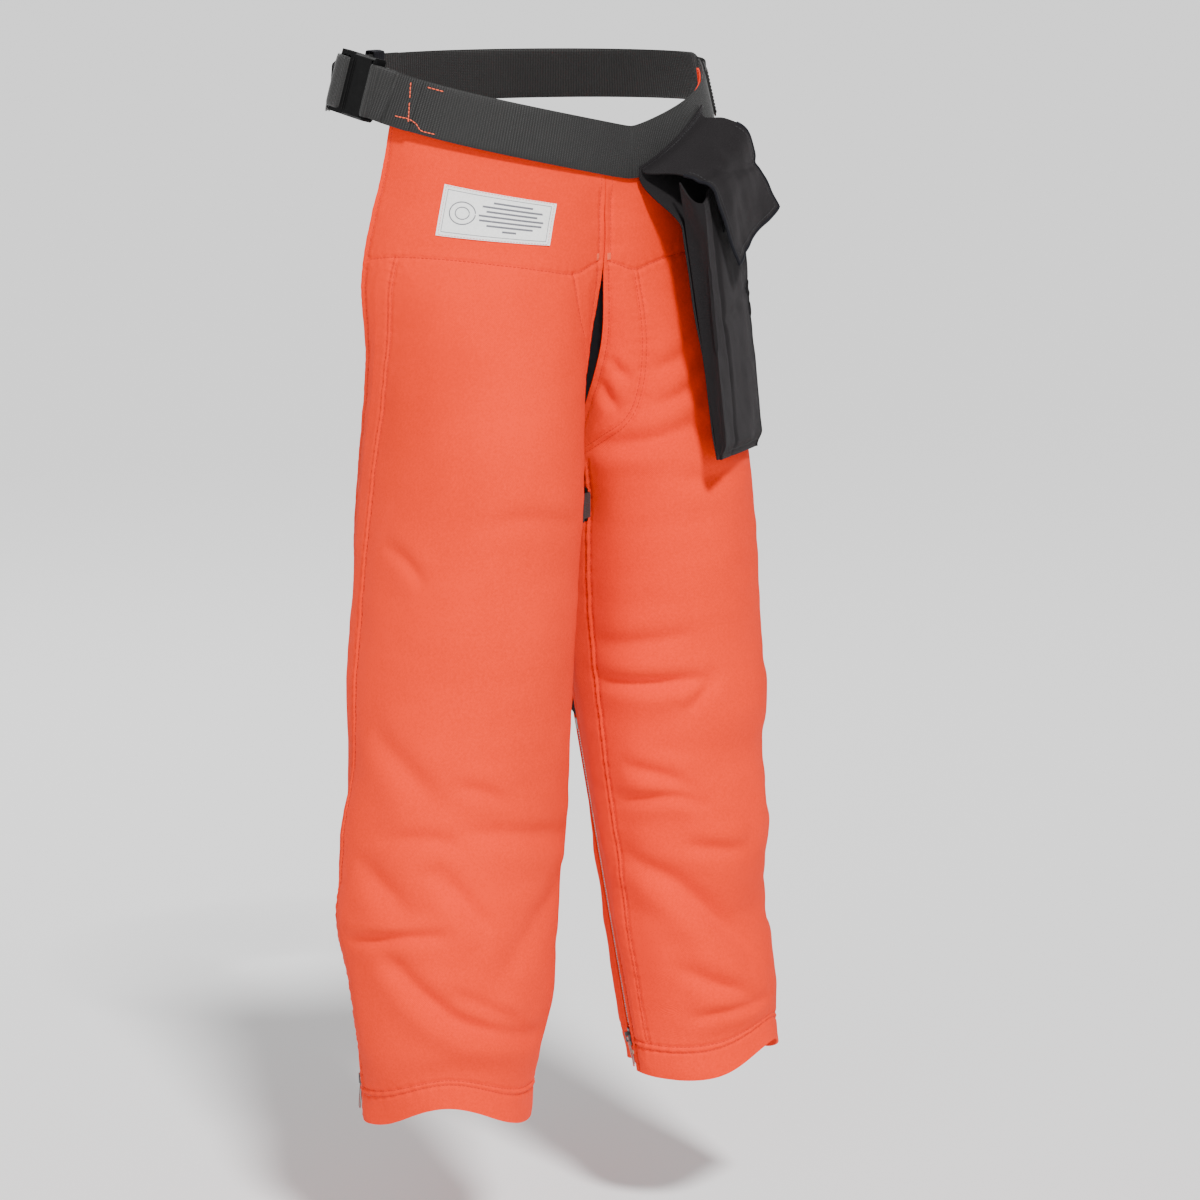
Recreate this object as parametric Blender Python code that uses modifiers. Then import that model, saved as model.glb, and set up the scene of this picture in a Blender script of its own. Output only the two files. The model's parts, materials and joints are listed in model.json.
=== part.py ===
"""Chainsaw chaps: an apron of protective cloth on a waist belt, with zipped calf wraps.

Frame: metres, +Z up, the wearer faces -Y and the wearer's left is +X. The origin is the middle of
the waist belt's loop, at the belt's mid height over the hips.
"""

import math

import bmesh
import bpy
from mathutils import Matrix, Vector

# Belt
BELT_RX = 0.195
BELT_RY = 0.140
BELT_HEIGHT = 0.050
BELT_THICKNESS = 0.0024
BELT_DIP = 0.061
DIP_ANGLE = 9.0
DIP_RIGHT_SPAN = 84.0
DIP_LEFT_SPAN = 72.0
BELT_LEAN = 0.006
FRONT_BELT_ENDS = (-70.4, 78.0)
BACK_STRAP_START = 79.0
BACK_STRAP_STEPS = 24
BACK_CENTRE_FACET = 14
BACK_STRAP_STEP = (180.0 - BACK_STRAP_START) / (BACK_CENTRE_FACET + 0.5)
TAIL_STEPS = (17, 22)
KEEPER_ANGLE = BACK_STRAP_START + BACK_STRAP_STEP * 18.5
BELT_OUTSET = 0.0021
TAIL_OUTSET = 0.0055
KEEPER_OUTSET = 0.0036
KEEPER_SIZE = (0.008, 0.0285, 0.0064)
KEEPER_WALLS = (0.0015, 0.0012)

# Side-release buckle on the wearer's right hip: width, thickness, socket, base and reach
HIP_BUCKLE = (0.060, 0.0130, 0.0450, 0.0310, 0.0310)
HIP_BUCKLE_SLOPE = (0.10, 1.0, 0.090)
HIP_BUCKLE_ANGLE = -73.0
HIP_BUCKLE_ALONG = 0.0475
HIP_BUCKLE_OUT = 0.0085
THIGH_BUCKLE = (0.033, 0.0084, 0.0270, 0.0200, 0.0180)

# Cloth layers, measured inward from the outer surface
SHELL_THICKNESS = 0.0012
PAD_INSET = 0.0025
PAD_THICKNESS = 0.0045
LINING_INSET = 0.0088
LINING_THICKNESS = 0.0010
SEAM_GAP = 0.0003

# Key sections of each leg, top to bottom:
# level, centre x, centre y, radius x, radius y, first angle, last angle.
# Angles are in degrees from the front, growing towards the wearer's left.
RIGHT_SECTIONS = (
    (0.020, 0.000, 0.000, 0.189, 0.134, -71.0, -0.09),
    (-0.030, 0.000, 0.000, 0.194, 0.139, -71.0, -0.09),
    (-0.168, -0.055, -0.015, 0.150, 0.130, -84.0, 21.3),
    (-0.250, -0.088, -0.045, 0.108, 0.118, -105.0, 52.0),
    (-0.385, -0.109, -0.066, 0.102, 0.122, -122.0, 76.0),
    (-0.590, -0.123, -0.067, 0.103, 0.113, -136.0, 97.0),
    (-0.760, -0.142, -0.068, 0.109, 0.114, -133.0, 100.0),
    (-0.890, -0.147, -0.078, 0.100, 0.102, -128.0, 100.0),
    (-0.990, -0.151, -0.086, 0.078, 0.088, -125.0, 100.0),
)
LEFT_SECTIONS = (
    (0.020, 0.000, 0.000, 0.189, 0.134, 0.09, 71.0),
    (-0.030, 0.000, 0.000, 0.194, 0.139, 0.09, 71.0),
    (-0.168, 0.055, -0.015, 0.145, 0.130, -22.1, 84.0),
    (-0.250, 0.085, -0.043, 0.098, 0.112, -50.0, 105.0),
    (-0.385, 0.105, -0.064, 0.092, 0.110, -96.0, 118.0),
    (-0.590, 0.122, -0.066, 0.096, 0.102, -118.0, 114.0),
    (-0.760, 0.133, -0.066, 0.090, 0.093, -118.0, 112.0),
    (-0.890, 0.150, -0.069, 0.084, 0.086, -108.0, 112.0),
    (-0.990, 0.164, -0.074, 0.077, 0.077, -100.0, 112.0),
)
SHELL_LEVELS = (
    0.020, -0.030, -0.075, -0.122, -0.168, -0.210, -0.250, -0.317, -0.385, -0.450,
    -0.520, -0.590, -0.670, -0.760, -0.825, -0.890, -0.945, -0.990,
)
PAD_LEVELS = SHELL_LEVELS[4:16]
LINING_LEVELS = SHELL_LEVELS[1:17]
WRAP_LEVELS = (-0.610, -0.670, -0.760, -0.825, -0.890, -0.945, -0.990)
SHELL_COLUMNS = 13
LINING_MARGIN = 0.04
WRAP_COLUMNS = 9

# Straight lines that the calf's edges follow: (top, bottom) points
PULL_START = -0.450
PULL_FULL = -0.600
PULL_REACH = 0.22
RIGHT_ZIP_LINE = ((-0.1946, 0.0143, -0.600), (-0.2155, -0.0350, -0.980))
LEFT_ZIP_LINE = ((0.0430, -0.0150, -0.600), (0.0890, -0.0600, -0.980))
RIGHT_SEAM_LINE = ((-0.0210, -0.0530, -0.600), (-0.0690, -0.0720, -0.980))
LEFT_SEAM_LINE = ((0.2110, -0.0260, -0.600), (0.2360, -0.0440, -0.980))
ZIP_EDGE_GAP = 0.0062
SEAM_EDGE_GAP = 0.0015

# Hem: the cloth rides up over the foot
HEM_LIFT = 0.030
HEM_LIFT_WIDTH = 38.0
RIGHT_FOOT_ANGLE = -32.0
LEFT_FOOT_ANGLE = 30.0
HEM_FADE = 0.110

# Zip
ZIP_DEPTH = 0.0031
ZIP_TOP = 0.115
ZIP_END = 0.962
TAPE_ABOVE_TEETH = 0.030
TAPE_BELOW_SLIDER = 0.004
TAPE_BEHIND_SLIDER = 0.002
ZIP_BOX = (0.0125, 0.0042, 0.0022)
ZIP_STOP = (0.0055, 0.0100)
TOOTH_INNER = 0.0006
TOOTH_OUTER = 0.0040
TOOTH_THICKNESS = 0.0028
TAPE_OUTER = 0.0098
TAPE_THICKNESS = 0.0006
SLIDER_LENGTH = 0.017
SLIDER_HALF_WIDTH = 0.0055
SLIDER_PLATE = 0.0010
SLIDER_CHANNEL = 0.0017
PULL_LENGTH = 0.028
PULL_WIDTH = 0.0074
PULL_TILT = 24.0
PULL_THICKNESS = 0.0008
PULL_WALL = 0.0011
PULL_PIVOT_HEIGHT = 0.0017
PULL_PIVOT_ALONG = 0.0095

# Thigh straps: the webbing sewn to the panel's inner edge overlaps it by a share of its width
THIGH_LEVEL = -0.400
THIGH_BUCKLE_RIGHT = (-0.0030, -0.0860, 0.12)
THIGH_BUCKLE_LEFT = (0.0200, -0.0110, 0.0)
THIGH_WEB_THICKNESS = 0.0014
THIGH_WEB_INSET = 0.004
THIGH_WEB = 0.025
THIGH_WEB_GAP = 0.0024
THIGH_PLUG_ROOM = 0.0235
THIGH_WEB_OVERLAP_RIGHT = 0.10
THIGH_WEB_OVERLAP_LEFT = 0.04

# Pouch on the wearer's left hip
POUCH_TURN = 34.0
POUCH_WIDTH = 0.106
POUCH_DEPTH = 0.024
POUCH_DEPTH_LOW = 0.008
POUCH_CROWN = 0.003
POUCH_TOP = -0.060
POUCH_BOTTOM = -0.352
POUCH_LEAN = 0.045
POUCH_ALONG = 0.004
POUCH_OUT = 0.174
POUCH_CLOTH = 0.0012
FLAP_LENGTH = 0.080
FLAP_OVERHANG = 0.010
FLAP_REST_TILT = 14.0
FLAP_ROOT = -0.047
FLAP_ARCH = ((0.0, 0.0060), (-0.006, 0.0200), (-0.016, POUCH_DEPTH + 0.0110))
PATCH_HALF = 0.016
PATCH_LEVELS = (-0.104, -0.128)
HANGER_ANGLES = (24.0, 70.0)
HANGER_REACH = 0.030
HANGER_OUTSET = 0.0056

# Label on the right leg: shares of the cloth's width, and levels
LABEL_SHARES = (0.32, 0.77)
LABEL_LEVELS = (-0.071, -0.101, -0.131)
LABEL_LIFT = 0.0016
LABEL_THICKNESS = 0.0008

COLLECTION_NAME = "chainsaw_chaps"

ORANGE = (0.90, 0.13, 0.05)
ORANGE_INSIDE = (0.80, 0.10, 0.04)
BLACK_CLOTH = (0.022, 0.022, 0.024)
BLACK_WEB = (0.012, 0.012, 0.012)
BLACK_PLASTIC = (0.008, 0.008, 0.009)
FIBRE = (0.75, 0.72, 0.62)
STEEL = (0.62, 0.62, 0.60)
LABEL_WHITE = (0.78, 0.77, 0.75)


# ---------------------------------------------------------------- scene

def clear_scene():
    for item in list(bpy.data.objects):
        bpy.data.objects.remove(item, do_unlink=True)


def collection(name):
    made = bpy.data.collections.new(name)
    bpy.context.scene.collection.children.link(made)
    return made


def material(name, colour, roughness, metallic=0.0):
    made = bpy.data.materials.new(name)
    made.use_nodes = True
    shader = made.node_tree.nodes["Principled BSDF"]
    shader.inputs["Base Color"].default_value = (*colour, 1.0)
    shader.inputs["Roughness"].default_value = roughness
    shader.inputs["Metallic"].default_value = metallic
    return made


clear_scene()
PARTS = collection(COLLECTION_NAME)
CUTTERS = collection("cutters")
SHELL_CLOTH = material("orange_shell_cloth", ORANGE, 0.85)
WRAP_CLOTH = material("orange_wrap_cloth", ORANGE_INSIDE, 0.85)
LINING_CLOTH = material("black_lining", BLACK_CLOTH, 0.9)
CANVAS = material("black_canvas", BLACK_CLOTH, 0.9)
WEBBING = material("black_webbing", BLACK_WEB, 0.7)
PLASTIC = material("black_plastic", BLACK_PLASTIC, 0.4)
PAD_FIBRE = material("pad_fibre", FIBRE, 0.95)
ZIP_METAL = material("zip_steel", STEEL, 0.3, 1.0)
LABEL_CLOTH = material("label_cloth", LABEL_WHITE, 0.8)
HOOK_TAPE = material("hook_tape", BLACK_WEB, 0.95)


# ---------------------------------------------------------------- mesh helpers

def add_object(name, mesh, finish):
    made = bpy.data.objects.new(name, mesh)
    made.data.materials.append(finish)
    PARTS.objects.link(made)
    return made


def grid_mesh(name, rows):
    """An open quad surface. Rows run top to bottom and columns left to right, seen from outside."""
    mesh = bpy.data.meshes.new(name)
    build = bmesh.new()
    verts = [[build.verts.new(point) for point in row] for row in rows]
    for upper, lower in zip(verts, verts[1:]):
        for i in range(len(upper) - 1):
            build.faces.new((upper[i], lower[i], lower[i + 1], upper[i + 1]))
    build.to_mesh(mesh)
    build.free()
    mesh.shade_smooth()
    return mesh


def thicken(piece, thickness, offset=-1.0):
    solid = piece.modifiers.new("thickness", "SOLIDIFY")
    solid.thickness = thickness
    solid.offset = offset
    solid.use_even_offset = True
    return piece


def sheet(name, rows, thickness, finish, offset=-1.0):
    return thicken(add_object(name, grid_mesh(name, rows), finish), thickness, offset)


def ribbon(name, path, widths, width, thickness, finish):
    """A flat strap on a path of centre points, each with its own width direction (upwards)."""
    upper = [point + across * (width / 2) for point, across in zip(path, widths)]
    lower = [point - across * (width / 2) for point, across in zip(path, widths)]
    return sheet(name, (upper, lower), thickness, finish, offset=0.0)


def frame_matrix(origin, x_axis, z_hint):
    """A right-handed frame at origin: x along x_axis and z as near z_hint as it can be."""
    x_dir = Vector(x_axis).normalized()
    y_dir = Vector(z_hint).cross(x_dir).normalized()
    z_dir = x_dir.cross(y_dir)
    turned = Matrix((x_dir, y_dir, z_dir)).transposed().to_4x4()
    return Matrix.Translation(Vector(origin)) @ turned


def box_mesh(name, low, high):
    mesh = bpy.data.meshes.new(name)
    build = bmesh.new()
    bmesh.ops.create_cube(build, size=1.0)
    size = Vector(high) - Vector(low)
    centre = (Vector(high) + Vector(low)) / 2
    bmesh.ops.scale(build, vec=size, verts=build.verts)
    bmesh.ops.translate(build, vec=centre, verts=build.verts)
    build.to_mesh(mesh)
    build.free()
    return mesh


def round_edges(piece, width, segments=1):
    bevel = piece.modifiers.new("edges", "BEVEL")
    bevel.width = width
    bevel.segments = segments
    bevel.limit_method = "ANGLE"
    bevel.angle_limit = math.radians(40)
    return piece


def box(name, low, high, frame, finish, bevel=0.0):
    piece = add_object(name, box_mesh(name, low, high), finish)
    piece.matrix_world = frame
    if bevel:
        round_edges(piece, bevel)
    return piece


def helper_box(name, low, high, frame):
    """An operand for a Boolean: never a part of the object."""
    piece = bpy.data.objects.new(name, box_mesh(name, low, high))
    piece.matrix_world = frame
    piece.hide_render = True
    piece.display_type = "WIRE"
    CUTTERS.objects.link(piece)
    return piece


def combine(piece, other, operation):
    step = piece.modifiers.new(other.name, "BOOLEAN")
    step.operation = operation
    step.solver = "EXACT"
    step.object = other
    return piece


def plate_mesh(name, outline, low, high):
    """A flat outline (x, y) raised from z = low to z = high; points run anticlockwise."""
    mesh = bpy.data.meshes.new(name)
    build = bmesh.new()
    base = build.faces.new([build.verts.new((x, y, low)) for x, y in reversed(outline)])
    raised = bmesh.ops.extrude_face_region(build, geom=[base])
    top = [part for part in raised["geom"] if isinstance(part, bmesh.types.BMVert)]
    bmesh.ops.translate(build, vec=(0, 0, high - low), verts=top)
    bmesh.ops.recalc_face_normals(build, faces=build.faces)
    build.to_mesh(mesh)
    build.free()
    return mesh


def plate(name, outline, low, high, frame, finish, bevel=0.0):
    piece = add_object(name, plate_mesh(name, outline, low, high), finish)
    piece.matrix_world = frame
    if bevel:
        round_edges(piece, bevel)
    return piece


# ---------------------------------------------------------------- body surface

def smooth(knots, values, at):
    """A smooth curve through values at falling knots (cubic, with averaged slopes)."""
    last = len(knots) - 1
    i = 0
    while i < last - 1 and at < knots[i + 1]:
        i += 1

    def slope(k):
        low, high = max(k - 1, 0), min(k + 1, last)
        return (values[high] - values[low]) / (knots[high] - knots[low])

    span = knots[i + 1] - knots[i]
    t = min(max((at - knots[i]) / span, 0.0), 1.0)
    start, end = values[i], values[i + 1]
    rise, fall = slope(i) * span, slope(i + 1) * span
    a = 2 * t ** 3 - 3 * t ** 2 + 1
    b = t ** 3 - 2 * t ** 2 + t
    return start * a + rise * b + end * (1 - a) + fall * (t ** 3 - t ** 2)


def ease(value):
    value = min(max(value, 0.0), 1.0)
    return value * value * (3 - 2 * value)


def belt_dip(angle):
    """How far the belt hangs below the hips at an angle from the front, in metres."""
    span = DIP_RIGHT_SPAN if angle < DIP_ANGLE else DIP_LEFT_SPAN
    share = 1.0 - abs(angle - DIP_ANGLE) / span
    return -BELT_DIP * max(share, 0.0)


def section_point(section, share, inset):
    level, cx, cy, rx, ry, first, last = section
    turn = math.radians(first + (last - first) * share)
    outward = Vector((math.sin(turn) / rx, -math.cos(turn) / ry, 0.0)).normalized()
    return Vector((cx + rx * math.sin(turn), cy - ry * math.cos(turn), level)) - outward * inset


def line_point(line, level):
    top, bottom = Vector(line[0]), Vector(line[1])
    return top.lerp(bottom, (level - top.z) / (bottom.z - top.z))


def edge_pull(line, gap, level, free_edge):
    """The shift that brings a free edge at this level onto a straight line, less its gap."""
    amount = ease((level - PULL_START) / (PULL_FULL - PULL_START))
    target = line_point(line, level) + gap
    shift = target - free_edge
    shift.z = 0.0
    return shift * amount


def hem_lift(point, level, centre, foot_angle):
    """The hem rides up at the front of the foot."""
    angle = math.degrees(math.atan2(point.x - centre.x, -(point.y - centre.y)))
    away = (angle - foot_angle + 180.0) % 360.0 - 180.0
    amount = ease((SHELL_LEVELS[-1] + HEM_FADE - level) / HEM_FADE)
    return HEM_LIFT * amount * math.exp(-(away / HEM_LIFT_WIDTH) ** 2)


class Leg:
    """One leg's cloth surface, with the lines that its calf edges follow."""

    def __init__(self, side, sections, zip_line, seam_line, foot_angle):
        self.side = side
        self.sections = sections
        self.zip_line = zip_line
        self.seam_line = seam_line
        self.foot_angle = foot_angle
        self.levels = [section[0] for section in sections]
        self.zip_frame = self.line_frame(zip_line)
        self.seam_frame = self.line_frame(seam_line)

    def centre(self, level):
        xs = [section[1] for section in self.sections]
        ys = [section[2] for section in self.sections]
        return Vector((smooth(self.levels, xs, level), smooth(self.levels, ys, level), level))

    def line_frame(self, line):
        """x down the line, y along the cloth towards growing angle, z outward."""
        top, bottom = Vector(line[0]), Vector(line[1])
        middle = top.lerp(bottom, 0.5)
        outward = middle - self.centre(middle.z)
        return frame_matrix(top, bottom - top, outward)

    def raw(self, share, level, inset=0.0):
        points = [section_point(section, share, inset) for section in self.sections]
        return smooth(self.levels, points, level)

    def edge_gap(self, line, gap):
        frame = self.zip_frame if line is self.zip_line else self.seam_frame
        return frame.to_3x3() @ Vector((0.0, gap, 0.0))

    def point(self, share, level, inset=0.0):
        """A point of the front panel: share 0 is its edge on the wearer's right, 1 on the left."""
        point = self.raw(share, level, inset)
        first = edge_pull(self.zip_line, self.edge_gap(self.zip_line, ZIP_EDGE_GAP), level,
                          self.raw(0.0, level))
        last = edge_pull(self.seam_line, self.edge_gap(self.seam_line, -SEAM_EDGE_GAP), level,
                         self.raw(1.0, level))
        point += first * ease(1.0 - share / PULL_REACH)
        point += last * ease(1.0 - (1.0 - share) / PULL_REACH)
        middle = math.copysign(SEAM_GAP, self.sections[2][1])
        point.x = min(point.x, middle) if middle < 0 else max(point.x, middle)
        fall = self.sections[2][0]
        top = self.sections[1][0]
        dip_share = min(max((level - fall) / (top - fall), 0.0), 1.0)
        angle = self.sections[0][5] + (self.sections[0][6] - self.sections[0][5]) * share
        point.z += belt_dip(angle) * dip_share
        point.z += hem_lift(point, level, self.centre(level), self.foot_angle)
        return point

    def wrap_point(self, share, level, inset=0.0):
        """A point of the calf wrap: share 0 is its sewn edge and 1 is its zip edge."""
        sections = []
        for section in self.sections[5:]:
            first, last = section[6], section[5] + 360.0
            sections.append(section[:5] + (first, last))
        points = [section_point(section, share, inset) for section in sections]
        edges = [[section_point(section, end, 0.0) for section in sections] for end in (0.0, 1.0)]
        levels = self.levels[5:]
        point = smooth(levels, points, level)
        sewn = line_point(self.seam_line, level) + self.edge_gap(self.seam_line, SEAM_EDGE_GAP)
        zipped = line_point(self.zip_line, level) + self.edge_gap(self.zip_line, -ZIP_EDGE_GAP)
        sewn_shift = sewn - smooth(levels, edges[0], level)
        zip_shift = zipped - smooth(levels, edges[1], level)
        sewn_shift.z = zip_shift.z = 0.0
        point += sewn_shift * ease(1.0 - share / PULL_REACH)
        point += zip_shift * ease(1.0 - (1.0 - share) / PULL_REACH)
        return point


RIGHT = Leg("right", RIGHT_SECTIONS, RIGHT_ZIP_LINE, RIGHT_SEAM_LINE, RIGHT_FOOT_ANGLE)
LEFT = Leg("left", LEFT_SECTIONS, LEFT_ZIP_LINE, LEFT_SEAM_LINE, LEFT_FOOT_ANGLE)


# ---------------------------------------------------------------- apron and legs

def leg_rows(leg, levels, shares, inset):
    return [[leg.point(share, level, inset) for share in shares] for level in levels]


def make_leg_cloth(leg):
    """Shell, pad and lining share their column lines, so that the layers never cross."""
    shares = [i / SHELL_COLUMNS for i in range(SHELL_COLUMNS + 1)]
    inner = shares[1:-1]
    lining = [LINING_MARGIN] + inner + [1.0 - LINING_MARGIN]
    rows = leg_rows(leg, SHELL_LEVELS, shares, 0.0)
    sheet(f"shell_{leg.side}", rows, SHELL_THICKNESS, SHELL_CLOTH)
    rows = leg_rows(leg, PAD_LEVELS, inner, PAD_INSET)
    sheet(f"protective_pad_{leg.side}", rows, PAD_THICKNESS, PAD_FIBRE)
    rows = leg_rows(leg, LINING_LEVELS, lining, LINING_INSET)
    sheet(f"lining_{leg.side}", rows, LINING_THICKNESS, LINING_CLOTH)


def make_calf_wrap(leg):
    rows = []
    for level in WRAP_LEVELS:
        shares = [i / WRAP_COLUMNS for i in range(WRAP_COLUMNS + 1)]
        rows.append([leg.wrap_point(share, level) for share in shares])
    return sheet(f"calf_wrap_{leg.side}", rows, SHELL_THICKNESS, WRAP_CLOTH)


# ---------------------------------------------------------------- zip

def zip_length(leg):
    return (Vector(leg.zip_line[1]) - Vector(leg.zip_line[0])).length


def make_zip(leg):
    """Tapes, teeth, slider, pull, top box and lower stop, in the zip line's frame."""
    frame = leg.zip_frame @ Matrix.Translation((0.0, 0.0, -ZIP_DEPTH))
    length = zip_length(leg)
    top, end = length * ZIP_TOP, length * ZIP_END
    slider_top = end - SLIDER_LENGTH
    half_tape, half_tooth = TAPE_THICKNESS / 2, TOOTH_THICKNESS / 2
    tape_inner = TOOTH_OUTER + SEAM_GAP
    tape_top = top - TAPE_ABOVE_TEETH
    low_ends = (("front", 1.0, end + TAPE_BELOW_SLIDER), ("wrap", -1.0, slider_top - TAPE_BEHIND_SLIDER))
    for word, sign, low_end in low_ends:
        across = sorted((sign * tape_inner, sign * TAPE_OUTER))
        box(f"zip_tape_{word}_{leg.side}", (tape_top, across[0], -half_tape),
            (low_end, across[1], half_tape), frame, WEBBING)
        across = sorted((sign * TOOTH_INNER, sign * TOOTH_OUTER))
        box(f"zip_teeth_{word}_{leg.side}", (top, across[0], -half_tooth),
            (low_end - 0.001, across[1], half_tooth), frame, ZIP_METAL)
    long, wide, deep = ZIP_BOX
    box(f"zip_box_{leg.side}", (top - long, -wide, -deep), (top - SEAM_GAP, wide, deep),
        frame, ZIP_METAL, bevel=0.0008)
    first, last = ZIP_STOP
    box(f"zip_stop_{leg.side}", (end + first, -0.0010, -0.0020), (end + last, wide, 0.0020),
        frame, ZIP_METAL, bevel=0.0006)
    make_slider(leg, frame, slider_top)


def make_slider(leg, frame, start):
    """Two plates on a thin neck, with lips that hold the tooth rows, and a lug for the pull."""
    wide, deep = SLIDER_HALF_WIDTH, SLIDER_CHANNEL
    thick, lip, neck = SLIDER_PLATE, 0.0011, 0.0003
    slit = 0.0007
    half = [(neck, -deep), (wide - lip, -deep), (wide - lip, -slit), (wide, -slit),
            (wide, -deep - thick), (-wide, -deep - thick), (-wide, -slit), (-wide + lip, -slit),
            (-wide + lip, -deep), (-neck, -deep)]
    outline = half + [(-y, -z) for y, z in half]
    stand = frame @ Matrix(((0, 0, 1, start), (1, 0, 0, 0), (0, 1, 0, 0), (0, 0, 0, 1)))
    slider = plate(f"zip_slider_{leg.side}", outline[::-1], 0.0, SLIDER_LENGTH, stand, ZIP_METAL)
    face = deep + thick
    lug = helper_box(f"slider_lug_{leg.side}", (start + 0.0030, -0.0012, face - 0.0002),
                     (start + 0.0130, 0.0012, face + 0.0040), frame)
    hole = helper_box(f"slider_hole_{leg.side}", (start + 0.0072, -0.004, face + 0.0002),
                      (start + 0.0120, 0.004, face + 0.0030), frame)
    combine(slider, lug, "UNION")
    combine(slider, hole, "DIFFERENCE")
    make_pull(leg, frame, start + PULL_PIVOT_ALONG, face)


def pull_frame(frame, along, height):
    """The pull hangs askew: x down its length and z outward, through the middle of its bar."""
    swing = Matrix.Rotation(math.radians(PULL_TILT), 4, "Z")
    return frame @ Matrix.Translation((along, 0.0, height + PULL_PIVOT_HEIGHT)) @ swing


def make_pull(leg, frame, along, height):
    """A long wire loop whose cross bar passes under the lug."""
    place = pull_frame(frame, along, height)
    half = PULL_WIDTH / 2
    outline = [(0.0, -half + 0.0008), (0.0012, -half), (PULL_LENGTH - 0.002, -half),
               (PULL_LENGTH, -half + 0.002), (PULL_LENGTH, half - 0.002),
               (PULL_LENGTH - 0.002, half), (0.0012, half), (0.0, half - 0.0008)]
    outline = [(x - 0.0005, y) for x, y in outline]
    flat = PULL_THICKNESS / 2
    pull = plate(f"zip_pull_{leg.side}", outline, -flat, flat, place, ZIP_METAL)
    window = helper_box(f"pull_window_{leg.side}", (0.0005, -half + PULL_WALL, -PULL_THICKNESS),
                        (PULL_LENGTH - 0.0021, half - PULL_WALL, PULL_THICKNESS), place)
    combine(pull, window, "DIFFERENCE")


# ---------------------------------------------------------------- belt

def belt_point(angle, outset):
    """The belt's centre line: degrees from the front towards the wearer's left."""
    turn = math.radians(angle)
    outward = Vector((math.sin(turn) / BELT_RX, -math.cos(turn) / BELT_RY, 0.0)).normalized()
    signed = (angle + 180.0) % 360.0 - 180.0
    base = Vector((BELT_RX * math.sin(turn), -BELT_RY * math.cos(turn), belt_dip(signed)))
    return base + outward * outset


def belt_up(angle):
    """The webbing's width direction: it leans in at the hips."""
    turn = math.radians(angle)
    outward = Vector((math.sin(turn) / BELT_RX, -math.cos(turn) / BELT_RY, 0.0)).normalized()
    return (Vector((0, 0, BELT_HEIGHT)) - outward * 2 * BELT_LEAN * abs(math.sin(turn))).normalized()


def belt_run(first, last, count, outset):
    angles = [first + (last - first) * i / count for i in range(count + 1)]
    return [belt_point(angle, outset) for angle in angles], [belt_up(angle) for angle in angles]


def make_belt():
    path, widths = belt_run(*FRONT_BELT_ENDS, 22, BELT_OUTSET)
    ribbon("belt_front_webbing", path, widths, BELT_HEIGHT, BELT_THICKNESS, WEBBING)
    back_end = BACK_STRAP_START + BACK_STRAP_STEP * BACK_STRAP_STEPS
    path, widths = belt_run(BACK_STRAP_START, back_end, BACK_STRAP_STEPS, BELT_OUTSET)
    ribbon("belt_back_strap", path, widths, BELT_HEIGHT, BELT_THICKNESS, WEBBING)
    ends = [BACK_STRAP_START + BACK_STRAP_STEP * index for index in TAIL_STEPS]
    path, widths = belt_run(*ends, TAIL_STEPS[1] - TAIL_STEPS[0], TAIL_OUTSET)
    ribbon("belt_strap_tail", path, widths, BELT_HEIGHT, BELT_THICKNESS, WEBBING)
    make_keeper()


def make_keeper():
    """An elastic loop that holds the loose tail on the back strap."""
    angle = KEEPER_ANGLE
    centre, up = belt_point(angle, KEEPER_OUTSET), belt_up(angle)
    along = (belt_point(angle + 1.0, 0.0) - belt_point(angle - 1.0, 0.0)).normalized()
    frame = frame_matrix(centre, along, along.cross(up))
    long, tall, deep = KEEPER_SIZE
    side_wall, face_wall = KEEPER_WALLS
    keeper = box("belt_keeper", (-long, -tall, -deep), (long, tall, deep), frame, WEBBING)
    inside = helper_box("keeper_inside", (-long * 1.5, side_wall - tall, face_wall - deep),
                        (long * 1.5, tall - side_wall, deep - face_wall), frame)
    combine(keeper, inside, "DIFFERENCE")


# ---------------------------------------------------------------- side-release buckles

class Buckle:
    """Sizes of one side-release buckle. Its frame has x out of the socket and z outward."""

    def __init__(self, name, frame, width, thickness, socket, base, reach):
        self.name = name
        self.frame = frame
        self.half = width / 2
        self.thick = thickness / 2
        self.socket = socket
        self.base = base
        self.reach = reach
        self.wall = width * 0.05
        self.bar = socket * 0.22


def make_socket(buckle, finish):
    half, thick, deep = buckle.half, buckle.thick, buckle.socket
    socket = box(f"{buckle.name}_socket", (-deep, -half, -thick), (0.0, half, thick), buckle.frame,
                 finish, bevel=thick * 0.3)
    cavity_end = -deep + buckle.bar
    inner, roof = half - buckle.wall, thick - buckle.wall * 0.6
    cuts = (
        ("cavity", (cavity_end, -inner, -roof), (0.02, inner, roof)),
        ("window", (-deep * 0.76, -half - 0.01, -roof * 0.85), (-deep * 0.40, half + 0.01, roof * 0.85)),
        ("slot", (-deep + buckle.bar * 0.34, -inner, -thick - 0.01),
         (-deep + buckle.bar * 0.72, inner, thick + 0.01)),
    )
    for word, low, high in cuts:
        combine(socket, helper_box(f"{buckle.name}_{word}", low, high, buckle.frame), "DIFFERENCE")
    return socket


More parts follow.
